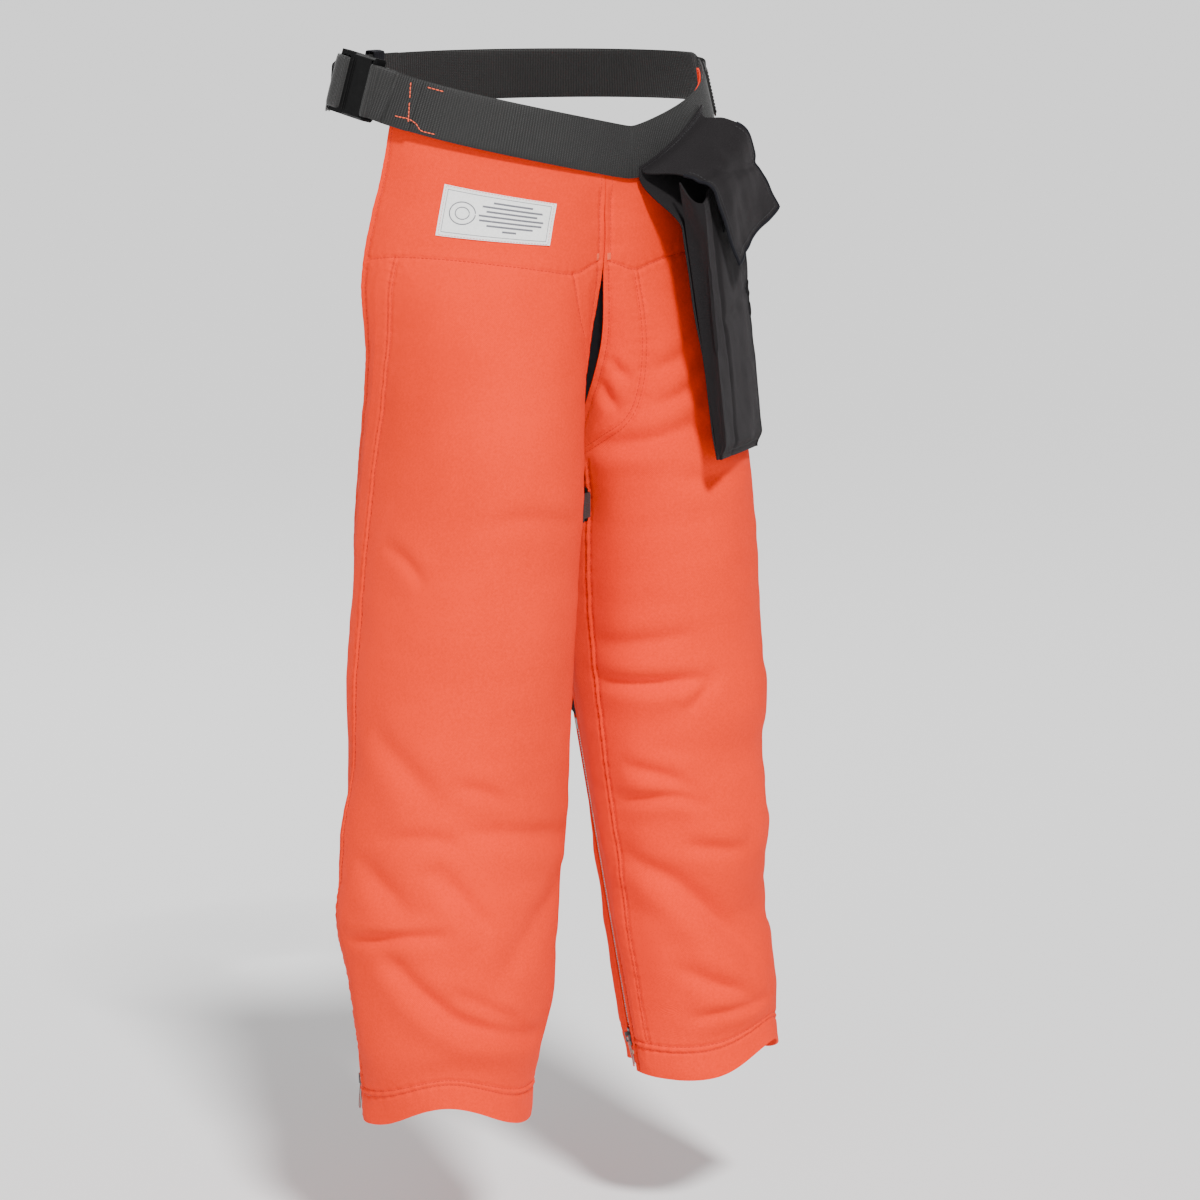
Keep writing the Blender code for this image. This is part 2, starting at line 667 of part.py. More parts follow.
def make_plug(buckle, finish):
    """The base frame with two strap slots and a middle tongue, and two spring prongs."""
    half, thick, base = buckle.half, buckle.thick, buckle.base
    gap = SEAM_GAP * 2
    tongue_half = half * 0.20
    flat = thick * 0.62
    outline = [(gap, -half), (base, -half), (base, half), (gap, half), (gap, tongue_half),
               (-buckle.reach, tongue_half), (-buckle.reach, -tongue_half), (gap, -tongue_half)]
    plug = plate(f"{buckle.name}_plug", outline, -flat, flat, buckle.frame, finish)
    for i, start in enumerate((0.34, 0.66)):
        low = (base * start, -half * 0.84, -thick)
        high = (base * (start + 0.17), half * 0.84, thick)
        combine(plug, helper_box(f"{buckle.name}_strap_slot_{i}", low, high, buckle.frame),
                "DIFFERENCE")
    round_edges(plug, thick * 0.14)
    for word, sign in (("upper", 1.0), ("lower", -1.0)):
        make_prong(buckle, word, sign, finish)


def make_prong(buckle, word, sign, finish):
    """A springy arm that thickens to a thumb pad in the socket's side window."""
    reach, half = buckle.reach, buckle.half
    inner = half - buckle.wall - SEAM_GAP * 2
    arm = half * 0.16
    root = -SEAM_GAP
    outline = [(root, half * 0.48), (root, half * 0.48 + arm), (-reach * 0.45, half * 0.56 + arm),
               (-reach * 0.52, inner), (-reach * 0.92, inner), (-reach, inner - arm),
               (-reach, half * 0.50), (-reach * 0.5, half * 0.50)]
    if sign < 0:
        outline = [(x, -y) for x, y in reversed(outline)]
    flat = buckle.thick * 0.55
    plate(f"{buckle.name}_prong_{word}", outline, -flat, flat, buckle.frame, finish)


def hip_buckle():
    """The belt's buckle lies flat on the wearer's right hip, mouth towards the back."""
    front, up = belt_point(HIP_BUCKLE_ANGLE, 0.0), belt_up(-90.0)
    slope = Vector(HIP_BUCKLE_SLOPE).normalized()
    outward = slope.cross(up).normalized()
    if outward.x > 0:
        outward = -outward
    origin = front + slope * HIP_BUCKLE_ALONG + outward * HIP_BUCKLE_OUT
    return Buckle("belt_buckle", frame_matrix(origin, slope, outward), *HIP_BUCKLE)


def make_belt_buckle():
    buckle = hip_buckle()
    make_socket(buckle, PLASTIC)
    make_plug(buckle, PLASTIC)
    half = BELT_HEIGHT / 2
    place = buckle.frame
    box("belt_strap_end", (0.0316, -half, -0.0022), (0.0480, half, 0.0002), place, WEBBING)
    box("belt_socket_loop", (-0.0470, -half, -0.0092), (-0.0454, half, 0.0030), place, WEBBING)


# ---------------------------------------------------------------- thigh straps

def thigh_buckle(leg, sign):
    """On the right leg the buckle lies over the panel's inner edge; on the left it is behind it."""
    x, y, slant = THIGH_BUCKLE_RIGHT if sign < 0 else THIGH_BUCKLE_LEFT
    origin = Vector((x, y, THIGH_LEVEL))
    frame = frame_matrix(origin, (slant, 1.0, 0.0), (-sign, 0.0, 0.0))
    return Buckle(f"thigh_buckle_{leg.side}", frame, *THIGH_BUCKLE)


def make_thigh_strap(leg, sign):
    """A strap behind the thigh, from the panel's outer edge to a buckle at its inner edge."""
    buckle = thigh_buckle(leg, sign)
    make_socket(buckle, PLASTIC)
    make_plug(buckle, PLASTIC)
    half = THIGH_WEB / 2
    box(f"thigh_strap_end_{leg.side}", (0.0204, -half, -0.0010), (0.0300, half, 0.0006), buckle.frame,
        WEBBING)
    centre = leg.centre(THIGH_LEVEL)
    outer_share = 0.0 if sign < 0 else 1.0
    inner_share = 1.0 - outer_share
    start = leg.point(outer_share, THIGH_LEVEL, THIGH_WEB_INSET)
    finish = buckle.frame @ Vector((0.0312 + THIGH_PLUG_ROOM, 0.0, -0.0002))
    path = []
    steps = 12
    first = math.atan2(start.x - centre.x, -(start.y - centre.y))
    last = math.atan2(finish.x - centre.x, -(finish.y - centre.y))
    if sign < 0 and last > first:
        last -= 2 * math.pi
    if sign > 0 and last < first:
        last += 2 * math.pi
    start_radius = (start - centre).xy.length
    end_radius = (finish - centre).xy.length
    for i in range(steps + 1):
        share = i / steps
        turn = first + (last - first) * share
        radius = start_radius + (end_radius - start_radius) * ease(share)
        point = centre + Vector((math.sin(turn), -math.cos(turn), 0.0)) * radius
        path.append(point)
    path = path[::-1] if sign > 0 else path
    up = [Vector((0, 0, 1))] * len(path)
    ribbon(f"thigh_strap_{leg.side}", path, up, THIGH_WEB, THIGH_WEB_THICKNESS, WEBBING)
    overlap = THIGH_WEB_OVERLAP_RIGHT if sign < 0 else THIGH_WEB_OVERLAP_LEFT
    web_start = leg.point(inner_share + sign * overlap, THIGH_LEVEL, sign * THIGH_WEB_INSET)
    web_end = buckle.frame @ Vector((-buckle.socket - THIGH_WEB_GAP, 0.0, 0.0))
    ends = [web_start, web_start.lerp(web_end, 0.5), web_end]
    ribbon(f"thigh_socket_web_{leg.side}", ends, up[:3], THIGH_WEB, THIGH_WEB_THICKNESS, WEBBING)


# ---------------------------------------------------------------- pouch

def pouch_frame():
    """x along the pouch's width towards the wearer's back, y up, z outward."""
    turn = math.radians(POUCH_TURN)
    outward = Vector((math.sin(turn), -math.cos(turn), 0.0))
    along = Vector((math.cos(turn), math.sin(turn), 0.0))
    origin = outward * POUCH_OUT + along * POUCH_ALONG
    return Matrix((
        (along.x, 0.0, outward.x, origin.x),
        (along.y, 0.0, outward.y, origin.y),
        (0.0, 1.0, 0.0, 0.0),
        (0.0, 0.0, 0.0, 1.0),
    ))


def pouch_lean(height):
    """How far out the pouch's back hangs at a height."""
    share = (POUCH_TOP - height) / (POUCH_TOP - POUCH_BOTTOM)
    return POUCH_LEAN * max(share, 0.0)


def make_pouch():
    frame = pouch_frame()
    heights = [POUCH_TOP + (POUCH_BOTTOM - POUCH_TOP) * i / 6 for i in range(7)]
    half = POUCH_WIDTH / 2
    back = [[frame @ Vector((x, height, pouch_lean(height))) for x in (-half, 0.0, half)]
            for height in [-0.040] + heights]
    sheet("pouch_back", back, POUCH_CLOTH, CANVAS)
    rows = []
    for height in heights:
        share = (POUCH_TOP - height) / (POUCH_TOP - POUCH_BOTTOM)
        depth = POUCH_DEPTH + (POUCH_DEPTH_LOW - POUCH_DEPTH) * share
        near = pouch_lean(height) + SEAM_GAP * 2
        edge = depth * 0.25
        outline = [(-half, near), (-half, near + depth - edge), (-half + edge, near + depth),
                   (-half / 3, near + depth + POUCH_CROWN), (half / 3, near + depth + POUCH_CROWN),
                   (half - edge, near + depth), (half, near + depth - edge), (half, near)]
        rows.append([frame @ Vector((x, height, out)) for x, out in outline])
    sheet("pouch_front", rows, POUCH_CLOTH, CANVAS)
    make_patch(frame)
    make_flap(frame)
    make_hanger(frame)


def front_face(height):
    """How far out the middle of the pouch's front stands at a height."""
    share = (POUCH_TOP - height) / (POUCH_TOP - POUCH_BOTTOM)
    depth = POUCH_DEPTH + (POUCH_DEPTH_LOW - POUCH_DEPTH) * share
    return pouch_lean(height) + SEAM_GAP * 2 + depth + POUCH_CROWN


def make_patch(frame):
    """The hook tape on the pouch's front, under the flap."""
    rows = [[frame @ Vector((x, height, front_face(height) + 0.0014)) for x in (-PATCH_HALF, PATCH_HALF)]
            for height in PATCH_LEVELS]
    sheet("pouch_hook_patch", rows, 0.0009, HOOK_TAPE)


def make_flap(frame):
    tilt = math.radians(FLAP_REST_TILT)
    half = POUCH_WIDTH / 2 + FLAP_OVERHANG / 2
    across = (-half, -half / 2, 0.0, half / 2, half)
    rows = [[(x, FLAP_ROOT + drop, out) for x in across] for drop, out in FLAP_ARCH]
    drop, base = FLAP_ARCH[-1]
    for i in range(1, 4):
        run = FLAP_LENGTH * i / 3
        rows.append([(x, FLAP_ROOT + drop - run * math.cos(tilt), base + run * math.sin(tilt))
                     for x in across])
    placed = [[frame @ Vector(point) for point in row] for row in rows]
    sheet("pouch_flap", placed, POUCH_CLOTH, CANVAS)


def make_hanger(frame):
    """The band of canvas that hangs the pouch from the webbing."""
    first, last = HANGER_ANGLES
    angles = [first + (last - first) * i / 8 for i in range(9)]
    rows = [[belt_point(angle, HANGER_OUTSET) + belt_up(angle) * height for angle in angles]
            for height in (HANGER_REACH, -HANGER_REACH)]
    sheet("pouch_hanger", rows, POUCH_CLOTH, CANVAS)


# ---------------------------------------------------------------- label

def make_label():
    first, last = LABEL_SHARES
    shares = [first + (last - first) * i / 6 for i in range(7)]
    rows = [[RIGHT.point(share, level, -LABEL_LIFT) for share in shares] for level in LABEL_LEVELS]
    sheet("label", rows, LABEL_THICKNESS, LABEL_CLOTH)


def build():
    for leg, sign in ((RIGHT, -1.0), (LEFT, 1.0)):
        make_leg_cloth(leg)
        make_calf_wrap(leg)
        make_zip(leg)
        make_thigh_strap(leg, sign)
    make_belt()
    make_belt_buckle()
    make_pouch()
    make_label()


build()
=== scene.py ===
"""Looks of the chainsaw chaps: fine cloth, webbing, zips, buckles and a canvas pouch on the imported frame.

Metres, +Z up. The wearer faces -Y and the wearer's left is +X. Every surface below follows the same
driving sizes as the CAD part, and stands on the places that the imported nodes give.
"""

import json
import math

import bpy
import numpy as np
from mathutils import Matrix, Vector

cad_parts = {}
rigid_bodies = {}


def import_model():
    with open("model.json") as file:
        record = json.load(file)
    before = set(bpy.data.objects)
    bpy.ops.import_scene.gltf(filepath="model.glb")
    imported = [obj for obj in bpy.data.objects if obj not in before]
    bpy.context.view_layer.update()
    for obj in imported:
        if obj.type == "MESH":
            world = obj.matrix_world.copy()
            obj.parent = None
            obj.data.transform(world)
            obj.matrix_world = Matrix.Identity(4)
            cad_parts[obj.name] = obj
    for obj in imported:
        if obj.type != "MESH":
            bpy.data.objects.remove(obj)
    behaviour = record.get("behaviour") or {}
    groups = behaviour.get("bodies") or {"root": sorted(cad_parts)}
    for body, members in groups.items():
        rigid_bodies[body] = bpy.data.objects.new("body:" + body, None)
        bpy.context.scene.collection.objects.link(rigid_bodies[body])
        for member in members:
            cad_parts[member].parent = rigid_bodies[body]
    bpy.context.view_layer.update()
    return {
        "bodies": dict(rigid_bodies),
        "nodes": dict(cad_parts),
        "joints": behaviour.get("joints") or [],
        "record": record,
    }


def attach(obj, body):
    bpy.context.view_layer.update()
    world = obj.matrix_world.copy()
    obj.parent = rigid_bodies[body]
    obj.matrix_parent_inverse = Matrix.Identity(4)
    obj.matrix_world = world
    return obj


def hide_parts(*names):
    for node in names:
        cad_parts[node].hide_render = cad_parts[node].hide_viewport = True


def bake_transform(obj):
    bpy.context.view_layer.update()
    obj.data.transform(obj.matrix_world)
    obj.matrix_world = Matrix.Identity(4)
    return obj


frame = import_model()
NODES = frame["nodes"]
CHAPS = "chaps"

# ---------------------------------------------------------------- driving sizes

BELT_RX = 0.195
BELT_RY = 0.140
BELT_HEIGHT = 0.050
BELT_DIP = 0.061
DIP_ANGLE = 9.0
DIP_RIGHT_SPAN = 84.0
DIP_LEFT_SPAN = 72.0
DIP_SOFTNESS = 3.0
BELT_LEAN = 0.006
WEBBING_THICKNESS = 0.0022
RIB_PITCH = 0.0026

# Sections of each leg, top to bottom: level, centre x, centre y, radius x, radius y, first angle, last angle
RIGHT_SECTIONS = (
    (0.020, 0.000, 0.000, 0.189, 0.134, -71.0, -0.09),
    (-0.030, 0.000, 0.000, 0.194, 0.139, -71.0, -0.09),
    (-0.168, -0.055, -0.015, 0.150, 0.130, -84.0, 21.3),
    (-0.250, -0.088, -0.045, 0.108, 0.118, -105.0, 52.0),
    (-0.385, -0.109, -0.066, 0.102, 0.122, -122.0, 76.0),
    (-0.590, -0.123, -0.067, 0.103, 0.113, -136.0, 97.0),
    (-0.760, -0.142, -0.068, 0.109, 0.114, -133.0, 100.0),
    (-0.890, -0.147, -0.078, 0.100, 0.102, -128.0, 100.0),
    (-0.990, -0.151, -0.086, 0.078, 0.088, -125.0, 100.0),
)
LEFT_SECTIONS = (
    (0.020, 0.000, 0.000, 0.189, 0.134, 0.09, 71.0),
    (-0.030, 0.000, 0.000, 0.194, 0.139, 0.09, 71.0),
    (-0.168, 0.055, -0.015, 0.145, 0.130, -22.1, 84.0),
    (-0.250, 0.085, -0.043, 0.098, 0.112, -50.0, 105.0),
    (-0.385, 0.105, -0.064, 0.092, 0.110, -96.0, 118.0),
    (-0.590, 0.122, -0.066, 0.096, 0.102, -118.0, 114.0),
    (-0.760, 0.133, -0.066, 0.090, 0.093, -118.0, 112.0),
    (-0.890, 0.150, -0.069, 0.084, 0.086, -108.0, 112.0),
    (-0.990, 0.164, -0.074, 0.077, 0.077, -100.0, 112.0),
)
RIGHT_ZIP_LINE = ((-0.1946, 0.0143, -0.600), (-0.2155, -0.0350, -0.980))
LEFT_ZIP_LINE = ((0.0430, -0.0150, -0.600), (0.0890, -0.0600, -0.980))
RIGHT_SEAM_LINE = ((-0.0210, -0.0530, -0.600), (-0.0690, -0.0720, -0.980))
LEFT_SEAM_LINE = ((0.2110, -0.0260, -0.600), (0.2360, -0.0440, -0.980))
FRONT_ZIP_GAP = 0.0088
WRAP_ZIP_GAP = 0.0062
SEAM_EDGE_GAP = 0.0015
WRAP_TUCK = 0.0042
WRAP_TUCK_DEPTH = 0.0034
PULL_START = -0.450
PULL_FULL = -0.600
PULL_REACH = 0.22
TOP_LEVEL = 0.020
HEM_LEVEL = -0.990
HEM_LIFT = 0.030
HEM_LIFT_WIDTH = 38.0
HEM_FADE = 0.110
WRAP_TOP_LEVEL = -0.610
MIDDLE_GAP = 0.0003

CLOTH_THICKNESS = 0.0010
HEM_THICKNESS = 0.0022
LINING_THICKNESS = 0.0006


# ---------------------------------------------------------------- materials

def shader_nodes(name, colour, roughness, metallic=0.0, specular=0.5):
    material = bpy.data.materials.new(name)
    material.use_nodes = True
    tree = material.node_tree
    shader = tree.nodes["Principled BSDF"]
    shader.inputs["Base Color"].default_value = (*colour, 1.0)
    shader.inputs["Roughness"].default_value = roughness
    shader.inputs["Metallic"].default_value = metallic
    shader.inputs["Specular IOR Level"].default_value = specular
    return material, tree, shader


def add_node(tree, kind, links=(), **settings):
    """A node with its inputs set: each link is (input, value or another node's output)."""
    made = tree.nodes.new(kind)
    for key, value in settings.items():
        setattr(made, key, value)
    for key, value in links:
        if isinstance(value, bpy.types.NodeSocket):
            tree.links.new(value, made.inputs[key])
        else:
            made.inputs[key].default_value = value
    return made


def maths(tree, operation, first, second=0.0):
    return add_node(tree, "ShaderNodeMath", ((0, first), (1, second)), operation=operation).outputs[0]


def noise_out(tree, vector, scale, detail=3.0, roughness=0.55):
    made = add_node(tree, "ShaderNodeTexNoise", (("Vector", vector), ("Scale", scale),
                                                 ("Detail", detail), ("Roughness", roughness)))
    return made.outputs["Fac"]


def spread(tree, value, low, high):
    """Maps a noise value around its middle to low..high."""
    made = add_node(tree, "ShaderNodeMapRange", (("Value", value), ("From Min", 0.3), ("From Max", 0.7),
                                                 ("To Min", low), ("To Max", high)))
    return made.outputs["Result"]


def tinted(tree, colour, factor):
    """The colour times a grey factor."""
    vector = add_node(tree, "ShaderNodeVectorMath", ((0, colour),), operation="SCALE")
    tree.links.new(factor, vector.inputs["Scale"])
    return vector.outputs["Vector"]


def bumped(tree, shader, height, distance, strength=1.0):
    bump = add_node(tree, "ShaderNodeBump", (("Height", height), ("Distance", distance),
                                             ("Strength", strength)))
    tree.links.new(bump.outputs["Normal"], shader.inputs["Normal"])


def textured(name, colour, roughness, metallic=0.0, specular=0.5):
    """A material with its node tree, its shader and a texture coordinate node."""
    material, tree, shader = shader_nodes(name, colour, roughness, metallic, specular)
    return material, tree, shader, add_node(tree, "ShaderNodeTexCoord").outputs


def set_colour(tree, shader, colour, factor):
    tree.links.new(tinted(tree, colour, factor), shader.inputs["Base Color"])


def woven_material(name, colour, pitch, roughness=0.8, sheen=0.25, depth=0.00025, shade=0.22,
                   blotch=0.07, twill=0.0):
    """Cloth with warp and weft threads at pitch metres, from UVs in metres."""
    material, tree, shader, where = textured(name, colour, roughness, specular=0.2)
    dyed = [channel / max(colour) for channel in colour]
    shader.inputs["Specular Tint"].default_value = (*[0.12 + 0.88 * channel for channel in dyed], 1.0)
    split = add_node(tree, "ShaderNodeSeparateXYZ", (("Vector", where["UV"]),))
    wave = 2 * math.pi / pitch
    across = maths(tree, "MULTIPLY", split.outputs["X"], wave)
    along = maths(tree, "MULTIPLY", split.outputs["Y"], wave)
    slanted = maths(tree, "ADD", along, maths(tree, "MULTIPLY", across, twill))
    threads = maths(tree, "MULTIPLY", maths(tree, "SINE", across), maths(tree, "SINE", slanted))
    fuzz = noise_out(tree, where["Object"], 900.0, 2.0)
    height = maths(tree, "ADD", maths(tree, "MULTIPLY", threads, 0.5), maths(tree, "MULTIPLY", fuzz, 0.9))
    bumped(tree, shader, height, depth)
    clouds = spread(tree, noise_out(tree, where["Object"], 7.0, 5.0), 1.0 - blotch, 1.0 + blotch)
    dark = maths(tree, "ADD", 1.0, maths(tree, "MULTIPLY", threads, shade * 0.5))
    specks = spread(tree, noise_out(tree, where["Object"], 420.0, 3.0, 0.7), 0.93, 1.06)
    factor = maths(tree, "MULTIPLY", maths(tree, "MULTIPLY", clouds, dark), specks)
    set_colour(tree, shader, colour, factor)
    rough = spread(tree, fuzz, roughness - 0.06, roughness + 0.08)
    tree.links.new(rough, shader.inputs["Roughness"])
    shader.inputs["Sheen Weight"].default_value = sheen
    shader.inputs["Sheen Roughness"].default_value = 0.45
    shader.inputs["Sheen Tint"].default_value = (*[0.15 + 0.85 * channel for channel in dyed], 1.0)
    return material


def webbing_material(name, colour):
    """Nylon webbing: ribs come from the mesh, and this adds the yarns inside each rib, plus a painted
    highlight on each rib's top and painted shade in the gaps between ribs.
    """
    material, tree, shader, where = textured(name, colour, 0.55, specular=0.35)
    split = add_node(tree, "ShaderNodeSeparateXYZ", (("Vector", where["UV"]),))
    yarn = maths(tree, "SINE", maths(tree, "MULTIPLY", split.outputs["Y"], 2 * math.pi / 0.0016))
    rib = maths(tree, "COSINE", maths(tree, "MULTIPLY", split.outputs["X"], 2 * math.pi / RIB_PITCH))
    fuzz = noise_out(tree, where["Object"], 1300.0, 3.0)
    height = maths(tree, "ADD", maths(tree, "MULTIPLY", yarn, 0.35), fuzz)
    bumped(tree, shader, height, 0.0002)
    # Painted highlight and shade: the colour follows the rib wave, lighter on each rib's top and darker in
    # the gaps between ribs.
    lift = add_node(tree, "ShaderNodeMapRange", (("Value", rib), ("From Min", -1.0), ("From Max", 1.0),
                                                 ("To Min", 0.35), ("To Max", 1.9)))
    clouds = spread(tree, noise_out(tree, where["Object"], 30.0, 4.0), 0.85, 1.15)
    set_colour(tree, shader, colour, maths(tree, "MULTIPLY", lift.outputs["Result"], clouds))
    shader.inputs["Sheen Weight"].default_value = 0.15
    return material


def plastic_material(name, colour):
    """Moulded nylon: a fine spark-eroded grain, and roughness and tone that vary in random patches."""
    material, tree, shader, where = textured(name, colour, 0.5, specular=0.10)
    grain = noise_out(tree, where["Object"], 1800.0, 2.0)
    bumped(tree, shader, grain, 0.00008, 0.7)
    wear = noise_out(tree, where["Object"], 45.0, 6.0, 0.65)
    tree.links.new(spread(tree, wear, 0.42, 0.60), shader.inputs["Roughness"])
    set_colour(tree, shader, colour, spread(tree, wear, 0.8, 1.35))
    return material


def metal_material(name, colour, roughness):
    """Nickelled brass with faint scuffs and a darker tone in places."""
    material, tree, shader, where = textured(name, colour, roughness, 1.0)
    scuffs = noise_out(tree, where["Object"], 700.0, 5.0, 0.7)
    bumped(tree, shader, scuffs, 0.00004, 0.6)
    tree.links.new(spread(tree, scuffs, roughness - 0.08, roughness + 0.16), shader.inputs["Roughness"])
    tarnish = noise_out(tree, where["Object"], 90.0, 4.0)
    set_colour(tree, shader, colour, spread(tree, tarnish, 0.72, 1.08))
    return material


def thread_material(name, colour):
    material, tree, shader, where = textured(name, colour, 0.6, specular=0.3)
    twist = noise_out(tree, where["Object"], 2200.0, 2.0)
    bumped(tree, shader, twist, 0.0001)
    set_colour(tree, shader, colour, spread(tree, twist, 0.85, 1.12))
    return material


def fibre_material(name, colour):
    material, tree, shader, where = textured(name, colour, 0.95, specular=0.1)
    stretched = add_node(tree, "ShaderNodeMapping", (("Vector", where["Object"]),
                                                     ("Scale", (1.0, 1.0, 0.12))))
    strands = noise_out(tree, stretched.outputs["Vector"], 900.0, 5.0, 0.7)
    bumped(tree, shader, strands, 0.0006)
    set_colour(tree, shader, colour, spread(tree, strands, 0.75, 1.12))
    return material


ORANGE = (0.95, 0.035, 0.004)
ORANGE_CLOTH = woven_material("orange_cloth", ORANGE, 0.0015, sheen=0.05)
LINING_CLOTH = woven_material("black_lining", (0.006, 0.006, 0.007), 0.0011, 0.6, 0.03)
CANVAS = woven_material("black_canvas", (0.0088, 0.0080, 0.0084), 0.0017, 0.85, 0.05, 0.0004, 0.6)
BINDING = woven_material("black_binding", (0.0045, 0.0045, 0.0055), 0.0012, 0.7, 0.05, 0.0003)
TAPE_CLOTH = woven_material("zip_tape_cloth", (0.005, 0.005, 0.0055), 0.0010, 0.75, 0.05, 0.0002, 0.4,
                            twill=0.5)
HOOK_TAPE = fibre_material("hook_tape", (0.012, 0.012, 0.013))
LABEL_CLOTH = woven_material("label_cloth", (0.93, 0.93, 0.91), 0.0007, 0.55, 0.1, 0.0001, 0.06, 0.02)
WEBBING = webbing_material("black_webbing", (0.0068, 0.0064, 0.0060))
PLASTIC = plastic_material("black_moulded_nylon", (0.0012, 0.0012, 0.0013))
ZIP_METAL = metal_material("nickelled_zip", (0.55, 0.54, 0.52), 0.30)
BRASS_METAL = metal_material("brass_stop", (0.62, 0.50, 0.30), 0.35)
DARK_METAL = metal_material("blackened_slider", (0.09, 0.09, 0.09), 0.30)
ORANGE_THREAD = thread_material("orange_thread", (0.88, 0.12, 0.05))
ORANGE_SEAM_THREAD = thread_material("orange_seam_thread", (0.60, 0.022, 0.006))
BLACK_THREAD = thread_material("black_thread", (0.03, 0.03, 0.032))
PINK_THREAD = thread_material("pink_thread", (0.80, 0.30, 0.28))
LABEL_INK = woven_material("label_ink", (0.16, 0.16, 0.18), 0.0007, 0.6, 0.0, 0.0001, 0.05, 0.02)
PAD_FIBRE = fibre_material("pad_fibre", (0.72, 0.68, 0.58))


# ---------------------------------------------------------------- mesh helpers

def finish_piece(name, mesh, material, body, replaces=()):
    """Links a piece. Its body may be None, and then the piece is left without a parent."""
    mesh.materials.append(material)
    made = bpy.data.objects.new(name, mesh)
    bpy.context.scene.collection.objects.link(made)
    if body:
        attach(made, body)
    if replaces:
        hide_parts(*replaces)
    return made


def mesh_from(name, points, faces, uvs=None, smooth=True):
    mesh = bpy.data.meshes.new(name)
    mesh.from_pydata([tuple(point) for point in points], [], faces)
    if uvs is not None:
        layer = mesh.uv_layers.new(name="metres")
        index = np.empty(len(mesh.loops), dtype=np.int32)
        mesh.loops.foreach_get("vertex_index", index)
        layer.data.foreach_set("uv", np.asarray(uvs, dtype=np.float32)[index].ravel())
    if smooth:
        mesh.shade_smooth()
        mesh.set_sharp_from_angle(angle=math.radians(50))
    mesh.update()
    return mesh


def grid_normals(grid):
    """Outward normals of a grid whose rows run down and columns run to the left of the wearer."""
    down = np.gradient(grid, axis=0)
    side = np.gradient(grid, axis=1)
    normal = np.cross(down, side)
    return normal / np.maximum(np.linalg.norm(normal, axis=2, keepdims=True), 1e-12)


def grid_uvs(grid):
    """Across and along distances, in metres, from the middle column and the first row."""
    across = np.zeros(grid.shape[:2])
    across[:, 1:] = np.cumsum(np.linalg.norm(np.diff(grid, axis=1), axis=2), axis=1)
    across -= across[:, [grid.shape[1] // 2]]
    along = np.zeros(grid.shape[:2])
    along[1:] = np.cumsum(np.linalg.norm(np.diff(grid, axis=0), axis=2), axis=0)
    return np.stack((across, -along), axis=2)


def skin_mesh(name, grid, thickness, inside=None):
    """A closed cloth: the grid is its outer face, and thickness (a number or a grid) goes inward."""
    rows, columns = grid.shape[:2]
    normals = grid_normals(grid)
    depth = np.broadcast_to(np.asarray(thickness, dtype=float), (rows, columns))[..., None]
    inner = grid - normals * depth if inside is None else inside
    flat = np.concatenate((grid.reshape(-1, 3), inner.reshape(-1, 3)))
    uv = grid_uvs(grid).reshape(-1, 2)
    index = np.arange(rows * columns).reshape(rows, columns)
    a, b, c, d = index[:-1, :-1], index[1:, :-1], index[1:, 1:], index[:-1, 1:]
    outer = np.stack((a, b, c, d), axis=-1).reshape(-1, 4)
    back = np.stack((a, d, c, b), axis=-1).reshape(-1, 4) + rows * columns
    rim = np.concatenate((index[0, ::-1], index[1:, 0], index[-1, 1:], index[-2:0:-1, -1]))
    following = np.roll(rim, -1)
    shift = rows * columns
    side = np.stack((rim, rim + shift, following + shift, following), axis=-1)
    faces = np.concatenate((outer, back, side)).tolist()
    return mesh_from(name, flat, faces, np.concatenate((uv, uv)))


def cubic(knots, values, at):
    """A smooth curve through values (K, N, ...) at falling knots, read at each of N levels."""
    last = len(knots) - 1
    i = np.clip((at[None, :] < knots[1:, None]).sum(axis=0), 0, last - 1)
    pick = np.arange(len(at))

    def slope(k):
        low, high = np.maximum(k - 1, 0), np.minimum(k + 1, last)
        return (values[high, pick] - values[low, pick]) / (knots[high] - knots[low])[:, None]

    span = (knots[i + 1] - knots[i])[:, None]
    t = np.clip((at - knots[i])[:, None] / span, 0.0, 1.0)
    a = 2 * t ** 3 - 3 * t ** 2 + 1
    b = t ** 3 - 2 * t ** 2 + t
    start, end = values[i, pick], values[i + 1, pick]
    return start * a + slope(i) * span * b + end * (1 - a) + slope(i + 1) * span * (t ** 3 - t ** 2)


def ease(value):
    value = np.clip(value, 0.0, 1.0)
    return value * value * (3 - 2 * value)


def through(knots, count):
    """count points on a smooth curve through a list of points (centripetal enough for short runs)."""
    points = np.array(knots, dtype=float)
    if len(points) == 2:
        share = np.linspace(0, 1, count)[:, None]
        return points[0] * (1 - share) + points[1] * share
    padded = np.vstack((2 * points[0] - points[1], points, 2 * points[-1] - points[-2]))
    lengths = np.concatenate(([0.0], np.cumsum(np.linalg.norm(np.diff(points, axis=0), axis=1))))
    at = np.linspace(0.0, lengths[-1], count)
    i = np.clip(np.searchsorted(lengths, at, side="right") - 1, 0, len(points) - 2)
    t = ((at - lengths[i]) / (lengths[i + 1] - lengths[i]))[:, None]
    p0, p1, p2, p3 = padded[i], padded[i + 1], padded[i + 2], padded[i + 3]
    return 0.5 * (2 * p1 + (p2 - p0) * t + (2 * p0 - 5 * p1 + 4 * p2 - p3) * t ** 2
                  + (3 * p1 - p0 - 3 * p2 + p3) * t ** 3)


# ---------------------------------------------------------------- body surface

def belt_dip(angle):
    """How far the belt hangs down; the kink at its lowest point is softened over a few degrees."""
    away = np.sqrt((angle - DIP_ANGLE) ** 2 + DIP_SOFTNESS ** 2) - DIP_SOFTNESS * 0.5
    span = np.where(angle < DIP_ANGLE, DIP_RIGHT_SPAN, DIP_LEFT_SPAN)
    return -BELT_DIP * np.maximum(1.0 - away / span, 0.0)


